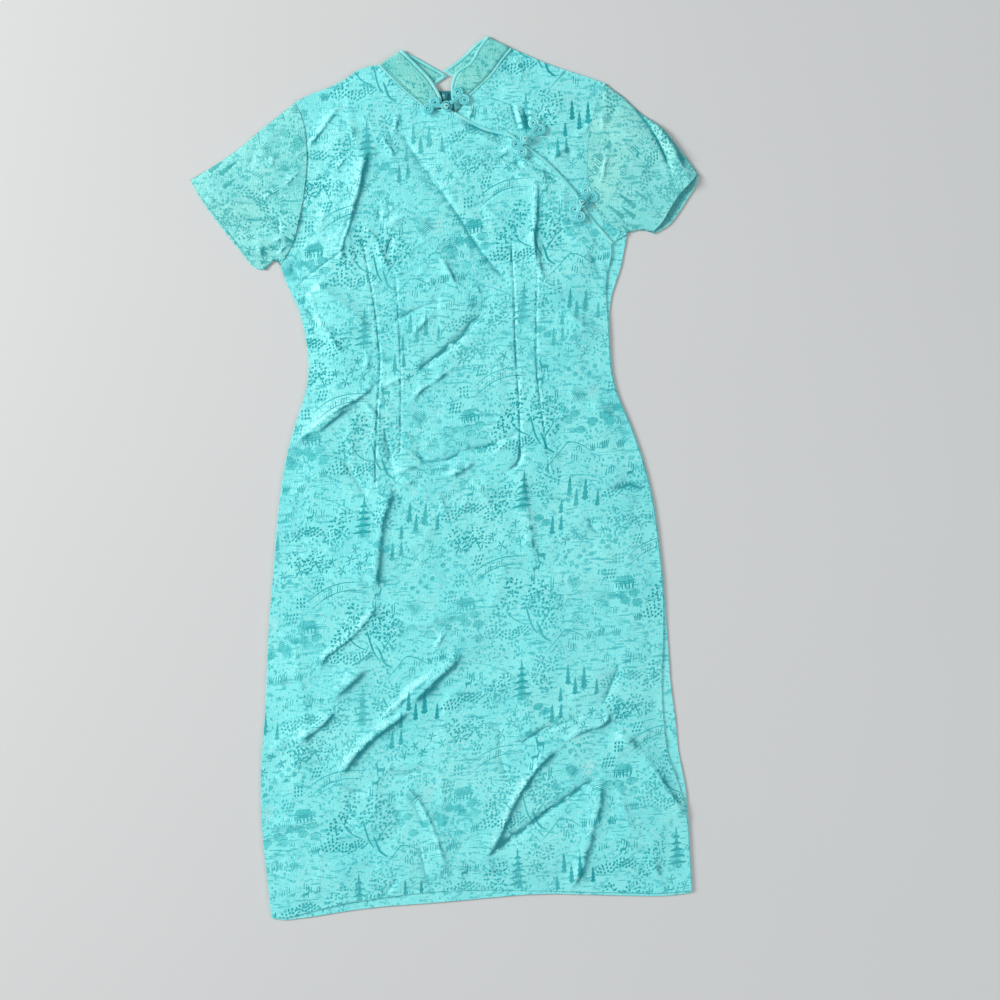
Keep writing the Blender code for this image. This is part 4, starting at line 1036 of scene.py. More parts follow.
def triangulate(outline, extra, figure=()):
    """Triangles over the outline. Each has the kind of figure that it lies in."""
    if turns_right(outline):
        outline = outline[::-1]
    points = [Vector(p) for p in outline]
    faces = [list(range(len(points)))]
    kinds = [GROUND]
    for kind, shape in figure:
        if turns_right(shape):
            shape = shape[::-1]
        start = len(points)
        points += [Vector(p) for p in shape]
        faces.append(list(range(start, len(points))))
        kinds.append(kind)
    points += [Vector(p) for p in extra]
    plan, _, triangles, _, _, origin = delaunay_2d_cdt(points, [], faces, 0, 1e-3)
    plan = np.array([tuple(p) for p in plan])
    kept = []
    kept_kinds = []
    for t, ids in zip(triangles, origin):
        if 0 not in ids:
            continue
        of = [kinds[i] for i in ids if i]
        kept.append(t)
        kept_kinds.append(DARK if DARK in of else PALE if PALE in of else MID if MID in of else GROUND)
    kept = np.array(kept)
    p = plan[kept]
    area = ((p[:, 1, 0] - p[:, 0, 0]) * (p[:, 2, 1] - p[:, 0, 1])
            - (p[:, 1, 1] - p[:, 0, 1]) * (p[:, 2, 0] - p[:, 0, 0]))
    kept[area < 0] = kept[area < 0][:, ::-1]
    used, kept = np.unique(kept, return_inverse=True)
    return plan[used], kept.reshape(-1, 3), np.array(kept_kinds)


def rim_loops(triangles):
    """Loops of edges that only one triangle has, in the triangles' own direction."""
    edges = set()
    for a, b, c in triangles.tolist():
        edges |= {(a, b), (b, c), (c, a)}
    return open_loops(edges)


def ring_faces(count, size, closed=False):
    """Faces of a form made of rings of points, with its two ends unless it closes on itself."""
    faces = []
    for ring in range(count if closed else count - 1):
        near = ring * size
        far = (ring + 1) % count * size
        for k in range(size):
            faces.append((near + k, near + (k + 1) % size, far + (k + 1) % size, far + k))
    if not closed:
        faces += [tuple(range(size))[::-1], tuple(range((count - 1) * size, count * size))]
    return faces


def add(name, data):
    """A new object in the scene."""
    made = bpy.data.objects.new(name, data)
    bpy.context.scene.collection.objects.link(made)
    return made


def add_smooth(name, mesh):
    """A new object in the scene, shaded smooth."""
    mesh.polygons.foreach_set("use_smooth", np.ones(len(mesh.polygons), bool))
    mesh.update()
    return add(name, mesh)


def make_object(name, points, faces, kinds, normals, materials, uv, fold):
    """A piece of cloth. Its fold attribute holds painted shade (above 0) and painted highlight (below 0).
    """
    mesh = bpy.data.meshes.new(name)
    mesh.from_pydata((points * MM).tolist(), [], faces.tolist())
    mesh.polygons.foreach_set("material_index", np.asarray(kinds, np.int32))
    for m in materials:
        mesh.materials.append(m)
    # the fold attribute: painted shade and painted highlight at each point
    layer = mesh.attributes.new("fold", "FLOAT", "POINT")
    layer.data.foreach_set("value", np.asarray(fold, np.float32))
    layer = mesh.uv_layers.new(name="OFBake")
    ids = np.zeros(len(mesh.loops), np.int32)
    mesh.loops.foreach_get("vertex_index", ids)
    layer.data.foreach_set("uv", np.asarray(uv, np.float32)[ids].ravel())
    made = add_smooth(name, mesh)
    if normals is not None:
        mesh.normals_split_custom_set_from_vertices(normals.tolist())
    return made


def cloth_shell(name, top_plan, top_faces, kinds, field, behind, shade, materials, low_extra, under):
    """A thin closed shell: the skin that shows, the turned rim and the plain skin behind it.
    With under, the skin that shows is the lower one."""
    sign = -1.0 if under else 1.0
    loops = rim_loops(top_faces)
    n_top = len(top_plan)
    points = [np.column_stack([top_plan, field.at(top_plan)])]
    normals = [sign * field.normal(top_plan)]
    shades = [shade.at(top_plan)]
    faces = [top_faces]
    face_kinds = [kinds]
    count = n_top
    bottom_of = {}
    for loop in loops:
        ids = np.array(loop)
        ring = top_plan[ids]
        closed = np.vstack([ring[-1:], ring, ring[:1]])
        out = -across(closed)[1:-1]
        z_high = field.at(ring)
        z_low = behind.at(ring)
        k = len(ids)
        points += [np.column_stack([ring + out * RIM_OUT, 0.5 * (z_high + z_low)]),
                   np.column_stack([ring, z_low])]
        normals += [np.column_stack([out, np.zeros(k)]), -sign * behind.normal(ring)]
        shades += [shade.at(ring), shade.at(ring)]
        mid_ids = count + np.arange(k)
        low_ids = count + k + np.arange(k)
        count += 2 * k
        for a, b in ((ids, mid_ids), (mid_ids, low_ids)):
            a2 = np.roll(a, -1)
            b2 = np.roll(b, -1)
            faces += [np.stack([a2, a, b], axis=1), np.stack([a2, b, b2], axis=1)]
            face_kinds += [np.zeros(2 * k, int)]
        for m, q in enumerate(ring):
            bottom_of[(round(q[0], 3), round(q[1], 3))] = low_ids[m]
    ring = top_plan[np.array(max(loops, key=len))]
    plan, low_faces, low_kinds = triangulate(ring, low_extra)
    ids = np.zeros(len(plan), int)
    fresh = []
    for m, q in enumerate(plan):
        known = bottom_of.get((round(q[0], 3), round(q[1], 3)))
        if known is None:
            ids[m] = count + len(fresh)
            fresh.append(m)
        else:
            ids[m] = known
    fresh = plan[np.array(fresh, int)]
    points.append(np.column_stack([fresh, behind.at(fresh)]))
    normals.append(-sign * behind.normal(fresh))
    shades.append(shade.at(fresh))
    faces.append(ids[low_faces][:, ::-1])
    face_kinds.append(low_kinds)
    points = np.vstack(points)
    faces = np.vstack(faces)
    if under:
        faces = faces[:, ::-1]
    # planar layout: the finer side fills the square, and the other has a corner of its own
    low = points[:, :2].min(axis=0)
    uv = (points[:, :2] - low) / (points[:, :2].max(axis=0) - low).max()
    is_top = np.arange(len(points)) < n_top
    uv = np.where(is_top[:, None], uv * 0.94, 0.95 + uv * 0.05)
    return make_object(name, points, faces, np.concatenate(face_kinds), np.vstack(normals), materials,
                       uv, np.concatenate(shades))


def panel(name, outline, field, shade_map, creases, grid, figure, materials, grooves=(),
          behind=None, under=False):
    """A panel of cloth. Its fine skin is the upper one, or with under the lower one."""
    extra = inner_points(outline, [crease_points(creases, grooves), grid_over(outline, grid)], 1.9, 1.2)
    plan, faces, kinds = triangulate(outline, extra, figure)
    # on an upper skin, painted highlight on flanks turned to the key light is taken off the painted shade
    shade = Field(shade_map if under else shade_map - painted_flank_highlight(field))
    plain = inner_points(outline, [grid_over(outline, INSIDE_GRID)], 1.9, 3.0)
    return cloth_shell(name, plan, faces, kinds, field, behind or Field(field.z - WALL), shade,
                       materials, plain, under)


def tube(line, radius, sides=8, flat=1.0, up=(0, 0, 1), closed=False):
    """Points and faces of round or flattened cord along a line in space."""
    line = np.array(line, float)
    if closed:
        ahead = unit(np.roll(line, -1, axis=0) - np.roll(line, 1, axis=0))
    else:
        ahead = unit(np.gradient(line, axis=0))
    side = unit(np.cross(np.broadcast_to(np.array(up, float), line.shape), ahead))
    lift = np.cross(ahead, side)
    rings = [line + radius * (side * math.cos(a) + flat * lift * math.sin(a))
             for a in 2 * math.pi * np.arange(sides) / sides]
    return np.stack(rings, axis=1).reshape(-1, 3), ring_faces(len(line), sides, closed)


def solid(name, parts, material):
    """One piece from closed forms, each given by its points and faces."""
    points = []
    faces = []
    count = 0
    for p, f in parts:
        points.append(p)
        faces += [[i + count for i in face] for face in f]
        count += len(p)
    mesh = bpy.data.meshes.new(name)
    mesh.from_pydata((np.vstack(points) * MM).tolist(), [], faces)
    mesh.materials.append(material)
    return add_smooth(name, mesh)


# ---------------------------------------------------------------- materials

def shader_of(name, roughness, specular, sheen=0.0, sheen_tint=(1, 1, 1, 1), metallic=0.0,
              anisotropic=0.0):
    """A new material, its node tree and its shader."""
    made = bpy.data.materials.new(name)
    made.use_nodes = True
    tree = made.node_tree
    shader = tree.nodes["Principled BSDF"]
    shader.inputs["Roughness"].default_value = roughness
    shader.inputs["Specular IOR Level"].default_value = specular
    shader.inputs["Sheen Weight"].default_value = sheen
    shader.inputs["Sheen Roughness"].default_value = 0.45
    shader.inputs["Sheen Tint"].default_value = sheen_tint
    shader.inputs["Metallic"].default_value = metallic
    shader.inputs["Anisotropic"].default_value = anisotropic
    return made, tree, shader


def mix(tree, factor, a, b):
    """A colour mix node. factor, a and b are sockets or values."""
    node = tree.nodes.new("ShaderNodeMix")
    node.data_type = "RGBA"
    for socket, value in ((node.inputs[0], factor), (node.inputs[6], a), (node.inputs[7], b)):
        if isinstance(value, bpy.types.NodeSocket):
            tree.links.new(value, socket)
        elif hasattr(value, "__len__"):
            socket.default_value = (*value[:3], 1)
        else:
            socket.default_value = value
    return node.outputs[2]


def texture(tree, kind, scale, stretch=(1, 1, 1), seed=(0, 0, 0)):
    """A texture node on the piece's own coordinates."""
    place = tree.nodes.new("ShaderNodeTexCoord")
    mapping = tree.nodes.new("ShaderNodeMapping")
    mapping.inputs["Scale"].default_value = stretch
    mapping.inputs["Location"].default_value = seed
    node = tree.nodes.new("ShaderNodeTex" + kind)
    node.inputs["Scale"].default_value = scale
    tree.links.new(place.outputs["Object"], mapping.inputs["Vector"])
    tree.links.new(mapping.outputs[0], node.inputs["Vector"])
    return node


def noise_of(tree, scale, detail=2.0, stretch=(1, 1, 1), seed=(0, 0, 0)):
    """Soft noise on the piece's own coordinates."""
    node = texture(tree, "Noise", scale, stretch, seed)
    node.inputs["Detail"].default_value = detail
    return node.outputs["Fac"]


def span(tree, value, low, high):
    """0 where the value is low and 1 where it is high, with a soft change between."""
    node = tree.nodes.new("ShaderNodeMapRange")
    node.interpolation_type = "SMOOTHSTEP"
    node.inputs["From Min"].default_value = low
    node.inputs["From Max"].default_value = high
    tree.links.new(value, node.inputs["Value"])
    return node.outputs[0]


def bump_of(tree, shader, height, strength, distance):
    """Fine relief, from a socket with its height."""
    node = tree.nodes.new("ShaderNodeBump")
    node.inputs["Strength"].default_value = strength
    node.inputs["Distance"].default_value = distance
    tree.links.new(height, node.inputs["Height"])
    tree.links.new(node.outputs[0], shader.inputs["Normal"])


def times(tree, a, b):
    """A product. a is a socket, b a socket or a value."""
    node = tree.nodes.new("ShaderNodeMath")
    node.operation = "MULTIPLY"
    tree.links.new(a, node.inputs[0])
    if isinstance(b, bpy.types.NodeSocket):
        tree.links.new(b, node.inputs[1])
    else:
        node.inputs[1].default_value = b
    return node.outputs[0]


def tinted(colour, factors):
    """The colour with each channel multiplied, and short of full white."""
    return [min(0.97, c * k) for c, k in zip(colour, factors)]


def satin(name, colour, shadow, pale, roughness, specular, figured, seed):
    """Silky cloth: colour that drifts a little, painted shade in the folds, painted highlight and painted
    glints, with small woven leaves, ripples and stipple between the large motifs."""
    made, tree, shader = shader_of(name, roughness, specular, 0.06, (0.8, 1.0, 1.0, 1.0),
                                   anisotropic=0.25)
    drift = span(tree, noise_of(tree, 9.0, 3.0, seed=(seed, 0, 0)), 0.35, 0.65)
    cloth = mix(tree, drift, colour, pale)
    patch = span(tree, noise_of(tree, 21.0, 2.0, (1.0, 0.8, 1.0), (seed, 2, 0)), 0.46, 0.62)
    cloth = mix(tree, times(tree, patch, 0.30), cloth, tinted(colour, (0.55, 0.80, 0.84)))
    where = noise_of(tree, 34.0, 2.0, seed=(0, seed, 1))
    cells = texture(tree, "Voronoi", 250.0, (1.0, 0.74, 1.0)).outputs["Distance"]
    leaves = times(tree, span(tree, cells, 0.38, 0.31), span(tree, where, 0.50, 0.56))
    blots = span(tree, noise_of(tree, 165.0, 3.0, (0.7, 1.3, 1.0)), 0.57, 0.60)
    streaks = span(tree, noise_of(tree, 130.0, 2.0, (0.35, 2.6, 1.0)), 0.58, 0.62)
    streaks = times(tree, streaks, span(tree, where, 0.50, 0.44))
    for pattern, share in ((leaves, 0.92), (blots, 0.66), (streaks, 0.82)):
        cloth = mix(tree, times(tree, pattern, share * figured), cloth,
                    tinted(colour, (0.24, 0.63, 0.67)))
    # painted glints: small pale flecks of sheen
    gleam = span(tree, noise_of(tree, 260.0, 3.0, (0.8, 1.2, 1.0), (3, seed, 0)), 0.57, 0.64)
    cloth = mix(tree, times(tree, gleam, 0.55), cloth, tinted(colour, (1.75, 1.14, 1.12)))
    # the fold attribute: painted highlight below 0, painted shade above 0
    fold = tree.nodes.new("ShaderNodeAttribute")
    fold.attribute_name = "fold"
    painted_highlight = times(tree, span(tree, fold.outputs["Fac"], -0.05, -0.9), 0.45)
    cloth = mix(tree, painted_highlight, cloth, tinted(colour, (1.9, 1.12, 1.1)))
    # painted shade: towards the shadow colour where the fold attribute is above 0
    deep = times(tree, span(tree, fold.outputs["Fac"], 0.05, 0.9), 0.92)
    tree.links.new(mix(tree, deep, cloth, shadow), shader.inputs["Base Color"])
    bump_of(tree, shader, noise_of(tree, 520.0, 3.0, (1.0, 0.45, 1.0)), 0.65, 0.0014)
    return made


def cloth_set(name, ground, dark, mid, pale, shadow, light, seed):
    """The four finishes of figured satin, in the order of the figure's kinds."""
    return [satin(name + "_ground", ground, shadow, light, 0.36, 0.36, 1.0, seed),
            satin(name + "_figure", dark, shadow, [0.6 * a + 0.4 * b for a, b in zip(dark, ground)],
                  0.55, 0.25, 0.3, seed + 1),
            satin(name + "_half", mid, shadow, ground, 0.5, 0.3, 0.6, seed + 2),
            satin(name + "_light", pale, shadow, light, 0.34, 0.5, 0.2, seed + 3)]


SHADOW = (0.0, 0.33, 0.38)
SKIRT = cloth_set("skirt_satin", (0.26, 0.95, 0.955), (0.015, 0.43, 0.46), (0.09, 0.66, 0.68),
                  (0.48, 0.97, 0.95), SHADOW, (0.31, 0.97, 0.96), 0.0)
# painted sheen: the sleeves' satin is the body's, tinted darker and greener for how the light falls on
# them
SLEEVE_PAINTED_SHEEN_SET = cloth_set("sleeve_satin_painted_sheen", (0.26, 0.87, 0.84), (0.03, 0.43, 0.44), (0.12, 0.66, 0.65),
                   (0.48, 0.94, 0.88), SHADOW, (0.36, 0.93, 0.87), 4.0)
COLLAR = cloth_set("collar_satin", (0.21, 0.78, 0.74), (0.08, 0.50, 0.49), (0.14, 0.62, 0.58),
                   (0.36, 0.82, 0.75), (0.02, 0.32, 0.30), (0.29, 0.84, 0.76), 8.0)


def cord_satin(name, colour, pale, pitch):
    """Satin cut on the cross and rolled: fine slanting wrinkles."""
    made, tree, shader = shader_of(name, 0.36, 0.5, 0.2, (0.85, 1.0, 1.0, 1.0))
    wave = texture(tree, "Wave", pitch)
    wave.inputs["Distortion"].default_value = 3.0
    wave.inputs["Detail"].default_value = 2.0
    tree.links.new(mix(tree, span(tree, noise_of(tree, 60.0, 2.0), 0.35, 0.65), colour, pale),
                   shader.inputs["Base Color"])
    bump_of(tree, shader, wave.outputs["Fac"], 0.16, 0.0005)
    return made


BINDING = cord_satin("binding_satin", (0.21, 0.83, 0.83), (0.34, 0.92, 0.90), 260.0)
FROG = cord_satin("frog_cord", (0.13, 0.70, 0.74), (0.27, 0.86, 0.88), 420.0)
BUTTON = cord_satin("frog_knot", (0.26, 0.78, 0.78), (0.48, 0.90, 0.88), 420.0)


def tape_weave():
    """Plain woven tape."""
    made, tree, shader = shader_of("zip_tape_weave", 0.78, 0.2)
    wave = texture(tree, "Wave", 420.0)
    tree.links.new(mix(tree, wave.outputs["Fac"], (0.02, 0.22, 0.26), (0.05, 0.33, 0.36)),
                   shader.inputs["Base Color"])
    bump_of(tree, shader, wave.outputs["Fac"], 0.4, 0.0004)
    return made


def metal():
    """Teal enamel on metal."""
    made, tree, shader = shader_of("zip_enamel", 0.42, 0.5, metallic=0.3)
    tree.links.new(mix(tree, noise_of(tree, 300.0), (0.05, 0.30, 0.33), (0.08, 0.38, 0.41)),
                   shader.inputs["Base Color"])
    bump_of(tree, shader, noise_of(tree, 600.0), 0.12, 0.0003)
    return made


TAPE = tape_weave()
METAL = metal()


# ---------------------------------------------------------------- panels

NECK_LEFT = -13.0
NECK_RIGHT = 17.5
NECK_LOW = 438.0
KNOT_Y = 456.5
HEM_LEFT = -256.0
HEM_RIGHT = 60.0
HEM_LOW = -500.0
HEM_LIFT = 6.0
FIGURE_START = (-20, -300)


def bowed(x, left, right, power):
    """0 at both ends of a stretch, and 1 in its middle."""
    return np.sin(math.pi * (x - left) / (right - left)) ** power


def make_front():
    """The darted front, with the left shoulder and the whole skirt front."""
    outline = rounded(plan_loops("front")[0])
    x, y = outline.T
    # the neckline closes up to the knot, where the collar's ends meet
    gap = (x > NECK_LEFT) & (x < NECK_RIGHT) & (y > NECK_LOW)
    outline[gap, 1] += np.maximum(0, KNOT_Y - y[gap]) * bowed(x[gap], NECK_LEFT, NECK_RIGHT, 0.5)
    # the front's hem lies back from the back's along the left
    hem = (x > HEM_LEFT) & (x < HEM_RIGHT) & (y < HEM_LOW)
    outline[hem, 1] += HEM_LIFT * bowed(x[hem], HEM_LEFT, HEM_RIGHT, 0.8)
    made = panel("front_panel", outline, front_field, front_shade, FRONT_CREASES, FRONT_GRID,
                 figure_over(outline, FIGURE_START), SKIRT, GROOVES)
    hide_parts("front")
    return made


def make_yoke():
    """The shoulder piece whose lap lies under the diagonal closing."""
    outline = rounded(plan_loops("front_yoke")[0])
    made = panel("yoke_panel", outline, yoke_field, yoke_shade, YOKE_CREASES, FRONT_GRID,
                 figure_over(outline, FIGURE_START), SKIRT)
    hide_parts("front_yoke")
    return made


def make_back(side, origin):
    """Half of the back, with its fine skin on the side that it lies on."""
    node = "back_" + side
    outline = rounded(plan_loops(node)[0])
    made = panel(node + "_panel", outline, back_outer, back_shade, BACK_CREASES, BACK_GRID,
                 figure_over(outline, origin), SKIRT, behind=back_inner, under=True)
    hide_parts(node)
    return made


# ---------------------------------------------------------------- sleeves

Mound = namedtuple("Mound", "across width armhole cuff")
SLEEVES = {
    "left": dict(
        arm=ARM_LEFT,
        top=[(-181, 474), (-202, 459), (-227, 441), (-254, 420), (-286, 400), (-317, 383)],
        cuff=[(-317, 383), (-305, 359), (-293, 340), (-279, 319.5), (-262, 296), (-243, 271),
              (-229, 267)],
        under=[(-209.5, 271), (-214, 276), (-219, 276.5), (-229, 267)],
        mounds=[Mound(0.3, 0.25, 0.6, 2.0), Mound(0.72, 0.22, 1.8, 1.4)],
        pull=4.2, away=-1, creases=LEFT_SLEEVE_CREASES, origin=(-262, 352), turn=-53),
    "right": dict(
        arm=ARM_RIGHT,
        top=[(206, 479), (229, 460), (249, 440), (275, 420), (291, 399), (305, 379), (317.2, 360)],
        cuff=[(317.2, 360), (312, 345), (302, 331), (290, 314), (277, 299), (258, 289)],
        under=[(224, 290.5), (233, 293.5), (241, 294), (250, 292.5), (258, 289)],
        mounds=[Mound(0.17, 0.15, 0.8, 4.0), Mound(0.6, 0.3, 1.4, 3.2)],
        pull=12.0, away=1, creases=RIGHT_SLEEVE_CREASES, origin=(262, 352), turn=53),
}
COLUMNS = 44
ROWS = 32
ARMHOLE_WIDTH = 170.0
CUFF_WIDTH = 140.0
CUFF_LENGTH = 150.0
SLEEVE_MIDDLE = 0.5 * SEAM_TOP
SLEEVE_SPAN = 240.0


def sleeve_patch(s):
    """Plan of a sleeve's surface, spanned by its four edges."""
    arm = even(shifted(s["arm"], s["away"] * GAP), COLUMNS)
    cuff = even(smooth(s["cuff"], 4), COLUMNS)
    top = even(smooth([tuple(arm[0])] + s["top"][1:], 4), ROWS)
    under = even(smooth([tuple(arm[-1])] + s["under"][1:], 2), ROWS)
    u = np.linspace(0, 1, COLUMNS + 1)[None, :, None]
    t = np.linspace(0, 1, ROWS + 1)[:, None, None]
    patch = arm[None] * (1 - t) + cuff[None] * t + top[:, None] * (1 - u) + under[:, None] * u
    patch -= (arm[0] * (1 - t) + cuff[0] * t) * (1 - u) + (arm[-1] * (1 - t) + cuff[-1] * t) * u
    return patch


def sleeve_field(s, patch):
    """Height of a sleeve's upper layer over the plan."""
    z = np.full(GRID_X.shape, SEAM_TOP)
    shade = np.zeros_like(z)
    sides = coarse_distance([patch[:, 0], patch[:, -1]])
    z += 1.5 * ease(sides / 14.0) + 0.5 * WAVES * ease(sides / 9.0)
    # mounds that run from the armhole to the cuff
    for m in s["mounds"]:
        column = m.across * COLUMNS
        i = int(column)
        line = patch[:, i] * (1 - (column - i)) + patch[:, min(i + 1, COLUMNS)] * (column - i)
        part = window(line, 60)
        far, _, along = away_from(GRID_X[part], GRID_Y[part], line)
        share = along / lengths(line)[-1]
        width = m.width * (ARMHOLE_WIDTH * (1 - share) + CUFF_WIDTH * share)
        z[part] += (m.armhole * (1 - share) + m.cuff * share) * np.exp(-(far / (0.62 * width)) ** 2)
    z = press(z, shade, s["creases"])
    field = Field(soft_floor(z, SEAM_TOP + 0.2))
    # painted shade on flanks turned away from the key light, painted highlight on those turned to it
    shade = np.maximum(shade, painted_flank_shade(field)) - painted_flank_highlight(field)
    return field, Field(shade)


def layer_outline(patch, cuff):
    """Outline of a sleeve's layer that ends at that cuff."""
    return np.vstack([patch[0], patch[1:, -1], cuff[::-1][1:], patch[::-1, 0][1:-1]])


def quarter_turn(t):
    """Height of a rounded edge, from 0 at the edge to 1."""
    return np.sqrt(1 - (1 - np.clip(t, 0, 1)) ** 2)


def turned_hem(line, inwards, height, sign, deep):
    """Rows of points and normals round a cuff's edge and back into the sleeve. The sign is -1 for
    the upper layer, whose hem turns down, and 1 for the lower one."""
    u = np.linspace(0, 1, len(line))
    round_ends = quarter_turn(np.minimum(u, 1 - u) * CUFF_LENGTH / 3.2)
    z = SLEEVE_MIDDLE + (height - SLEEVE_MIDDLE) * round_ends
    rows = []
    for out, drop in ((0.0, 0.0), (-0.5, 0.35), (-0.3, 1.0), (3.0, 1.25), (deep, 1.25)):
        lift = np.clip(z + sign * drop * (0.25 + 0.75 * round_ends), 0.25, None)
        if sign < 0:
            lift = np.maximum(lift, SLEEVE_MIDDLE + 0.1)
        else:
            lift = np.minimum(lift, SLEEVE_MIDDLE - 0.05)
        rows.append(np.column_stack([line + inwards * out, lift]))
    normals = []
    for turned in (0.0, 0.5, 1.0, 1.0, 1.0):
        normals.append(unit(np.column_stack([-inwards * (1 - abs(2 * turned - 1)),
                                             np.full(len(line), (2 * turned - 1) * sign)])))
    return rows, normals


def make_sleeve(side):
    """A tube of cloth laid flat: two layers that turn into each other at the fold and the seam."""
    s = SLEEVES[side]
    patch = sleeve_patch(s)
    field, shade = sleeve_field(s, patch)
    # the upper layer's cuff lies back a little from the lower one's
    u = np.linspace(0, 1, COLUMNS + 1)
    inwards = unit(patch[-2] - patch[-1])
    cuff = patch[-1] + inwards * (s["pull"] * np.sin(math.pi * u) ** 0.6)[:, None]
    back_outline = layer_outline(patch, patch[-1])
    front_outline = layer_outline(patch, cuff)
    folds = [patch[:, 0], patch[:, -1]]
    figure = figure_over(back_outline, s["origin"], s["turn"])

    def layer(outline, creases, grid, turn_in, height):
        """A layer's points and faces. Both layers meet half way up along the fold and the seam."""
        extra = inner_points(outline, [crease_points(creases), grid_over(outline, grid)], 1.8, 1.0)
        plan, faces, kinds = triangulate(outline, extra, figure)
        far = np.min([away_from(plan[:, 0], plan[:, 1], line)[0] for line in folds], axis=0)
        z = SLEEVE_MIDDLE + (height(plan) - SLEEVE_MIDDLE) * quarter_turn(far / turn_in)
        return np.column_stack([plan, z]), faces, kinds

    waves = Field(WAVES)
    bed = 0.25 + 0.2 * WAVES[0, 0]
    top, faces, kinds = layer(front_outline, s["creases"], SLEEVE_GRID, 3.2, field.at)
    low, low_faces, low_kinds = layer(back_outline, [], 6.0, 2.4,
                                      lambda p: bed + 0.175 * waves.at(p))
    points = [top, low]
    count = len(top) + len(low)
    all_faces = [faces, low_faces[:, ::-1] + len(top)]
    all_kinds = [kinds, low_kinds]
    normals = [field.normal(top), np.tile([0.0, 0.0, -1.0], (len(low), 1))]
    shades = [shade.at(top), np.zeros(len(low))]
    # hems turned in at the cuff, on both layers
    for line, height, sign, deep in ((cuff, field.at(cuff), -1.0, 16.0), (patch[-1], 0.3, 1.0, 22.0)):
        rows, row_normals = turned_hem(line, inwards, height, sign, deep)
        grid = np.arange(len(rows) * len(line)).reshape(len(rows), -1) + count
        a, b, c, d = grid[:-1, :-1], grid[1:, :-1], grid[1:, 1:], grid[:-1, 1:]
        quads = np.stack([a, b, c, d], axis=-1).reshape(-1, 4)
        if sign > 0:
            quads = quads[:, ::-1]
        triangles = np.vstack([quads[:, [0, 1, 2]], quads[:, [0, 2, 3]]])
        if side == "right":
            triangles = triangles[:, ::-1]
        all_faces.append(triangles)
        all_kinds.append(np.zeros(len(triangles), int))
        points += rows
        normals += row_normals
        count += len(rows) * len(line)
        # painted shade on the hem's two inner rows, inside the cuff
        shades.append(np.concatenate([np.zeros(3 * len(line)), np.full(2 * len(line), 0.55)]))
    points = np.vstack(points)
    # along the fold and the seam the skins look outwards
    out = np.zeros((len(points), 3))
    for line in folds:
        far = away_from(points[:, 0], points[:, 1], line)[0]
        outward = across(line).mean(axis=0)
        if outward @ (line.mean(axis=0) - back_outline.mean(axis=0)) < 0:
            outward = -outward
        out[:, :2] += unit(outward) * (np.clip(1 - far / 3.2, 0, 1) ** 1.5)[:, None]
    weight = np.clip(np.linalg.norm(out, axis=1), 0, 1)[:, None]
    normals = unit(np.vstack(normals) * (1 - weight) + out)
    uv = (points[:, :2] - back_outline.min(axis=0)) / SLEEVE_SPAN
    is_top = np.arange(len(points)) < len(top)
    uv = np.where(is_top[:, None], uv * 0.6, uv * 0.38 + 0.6)
    made = make_object("sleeve_%s_cloth" % side, points, np.vstack(all_faces),
                       np.concatenate(all_kinds), normals, SLEEVE_PAINTED_SHEEN_SET, uv, np.concatenate(shades))
    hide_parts("sleeve_" + side)
    return made


# ---------------------------------------------------------------- collar and bindings

COLLAR_WALL = 1.6
COLLAR_BACK_Z = 1.3
COLLAR_FRONT_Z = 4.6
BINDING_WIDTH = 4.0
BINDING_HALF_HEIGHT = 1.25
BINDING_SIDES = 12
COLLAR_COLUMNS = 16
NECK_WIDTH = 3.0


def collar_rows(front, back, outward_sign):
    """Neck edge, top edge and normal at each station: front leaf, shoulder turn, back leaf."""
    radius = 0.5 * (COLLAR_FRONT_Z - COLLAR_BACK_Z)
    middle = 0.5 * (COLLAR_FRONT_Z + COLLAR_BACK_Z)
    rows = []
    for s in front[:-1]:
        rows.append(((s.neck_x, s.neck_y, COLLAR_FRONT_Z), (s.top_x, s.top_y, COLLAR_FRONT_Z),
                     (0, 0, 1)))
    fold = front[-1]
    along = np.array([fold.top_x - fold.neck_x, fold.top_y - fold.neck_y])
    along /= np.linalg.norm(along)
    outward = np.array([-along[1], along[0]]) * outward_sign
    for step in range(7):
        angle = math.pi * step / 6
        off = outward * (radius * math.sin(angle) - radius - 0.5 * COLLAR_WALL)
        z = middle + radius * math.cos(angle)
        rows.append(((fold.neck_x + off[0], fold.neck_y + off[1], z),
                     (fold.top_x + off[0], fold.top_y + off[1], z),
                     (outward[0] * math.sin(angle), outward[1] * math.sin(angle), math.cos(angle))))
    for s in back:
        rows.append(((s.neck_x, s.neck_y, COLLAR_BACK_Z), (s.top_x, s.top_y, COLLAR_BACK_Z),
                     (0, 0, -1)))
    return [np.array(column, float) for column in zip(*rows)]


def refine(rows, step):
    """The stations again, close together on smooth lines."""
    neck, top, normal = rows
    fine_neck, fine_top, fine_normal = [], [], []
    both = np.hstack([neck, top, normal])
    padded = np.vstack([2 * both[0] - both[1], both, 2 * both[-1] - both[-2]])
    for a, b, c, d in zip(padded, padded[1:], padded[2:], padded[3:]):
        count = max(2, round(float(np.linalg.norm((c - b)[:6])) / step))
        for k in range(count):
            t = k / count
            if np.linalg.norm((c - b)[:3]) < 6:
                p = b * (1 - t) + c * t
            else:
                p = 0.5 * (2 * b + (c - a) * t + (2 * a - 5 * b + 4 * c - d) * t * t
                           + (3 * b - a - 3 * c + d) * t ** 3)
                p[[2, 5]] = b[[2, 5]] * (1 - t) + c[[2, 5]] * t
                p[6:] = b[6:] * (1 - t) + c[6:] * t
            fine_neck.append(p[:3])
            fine_top.append(p[3:6])
            fine_normal.append(p[6:] / np.linalg.norm(p[6:]))
    fine_neck.append(both[-1][:3])
    fine_top.append(both[-1][3:6])
    fine_normal.append(both[-1][6:])
    return np.array(fine_neck), np.array(fine_top), np.array(fine_normal)


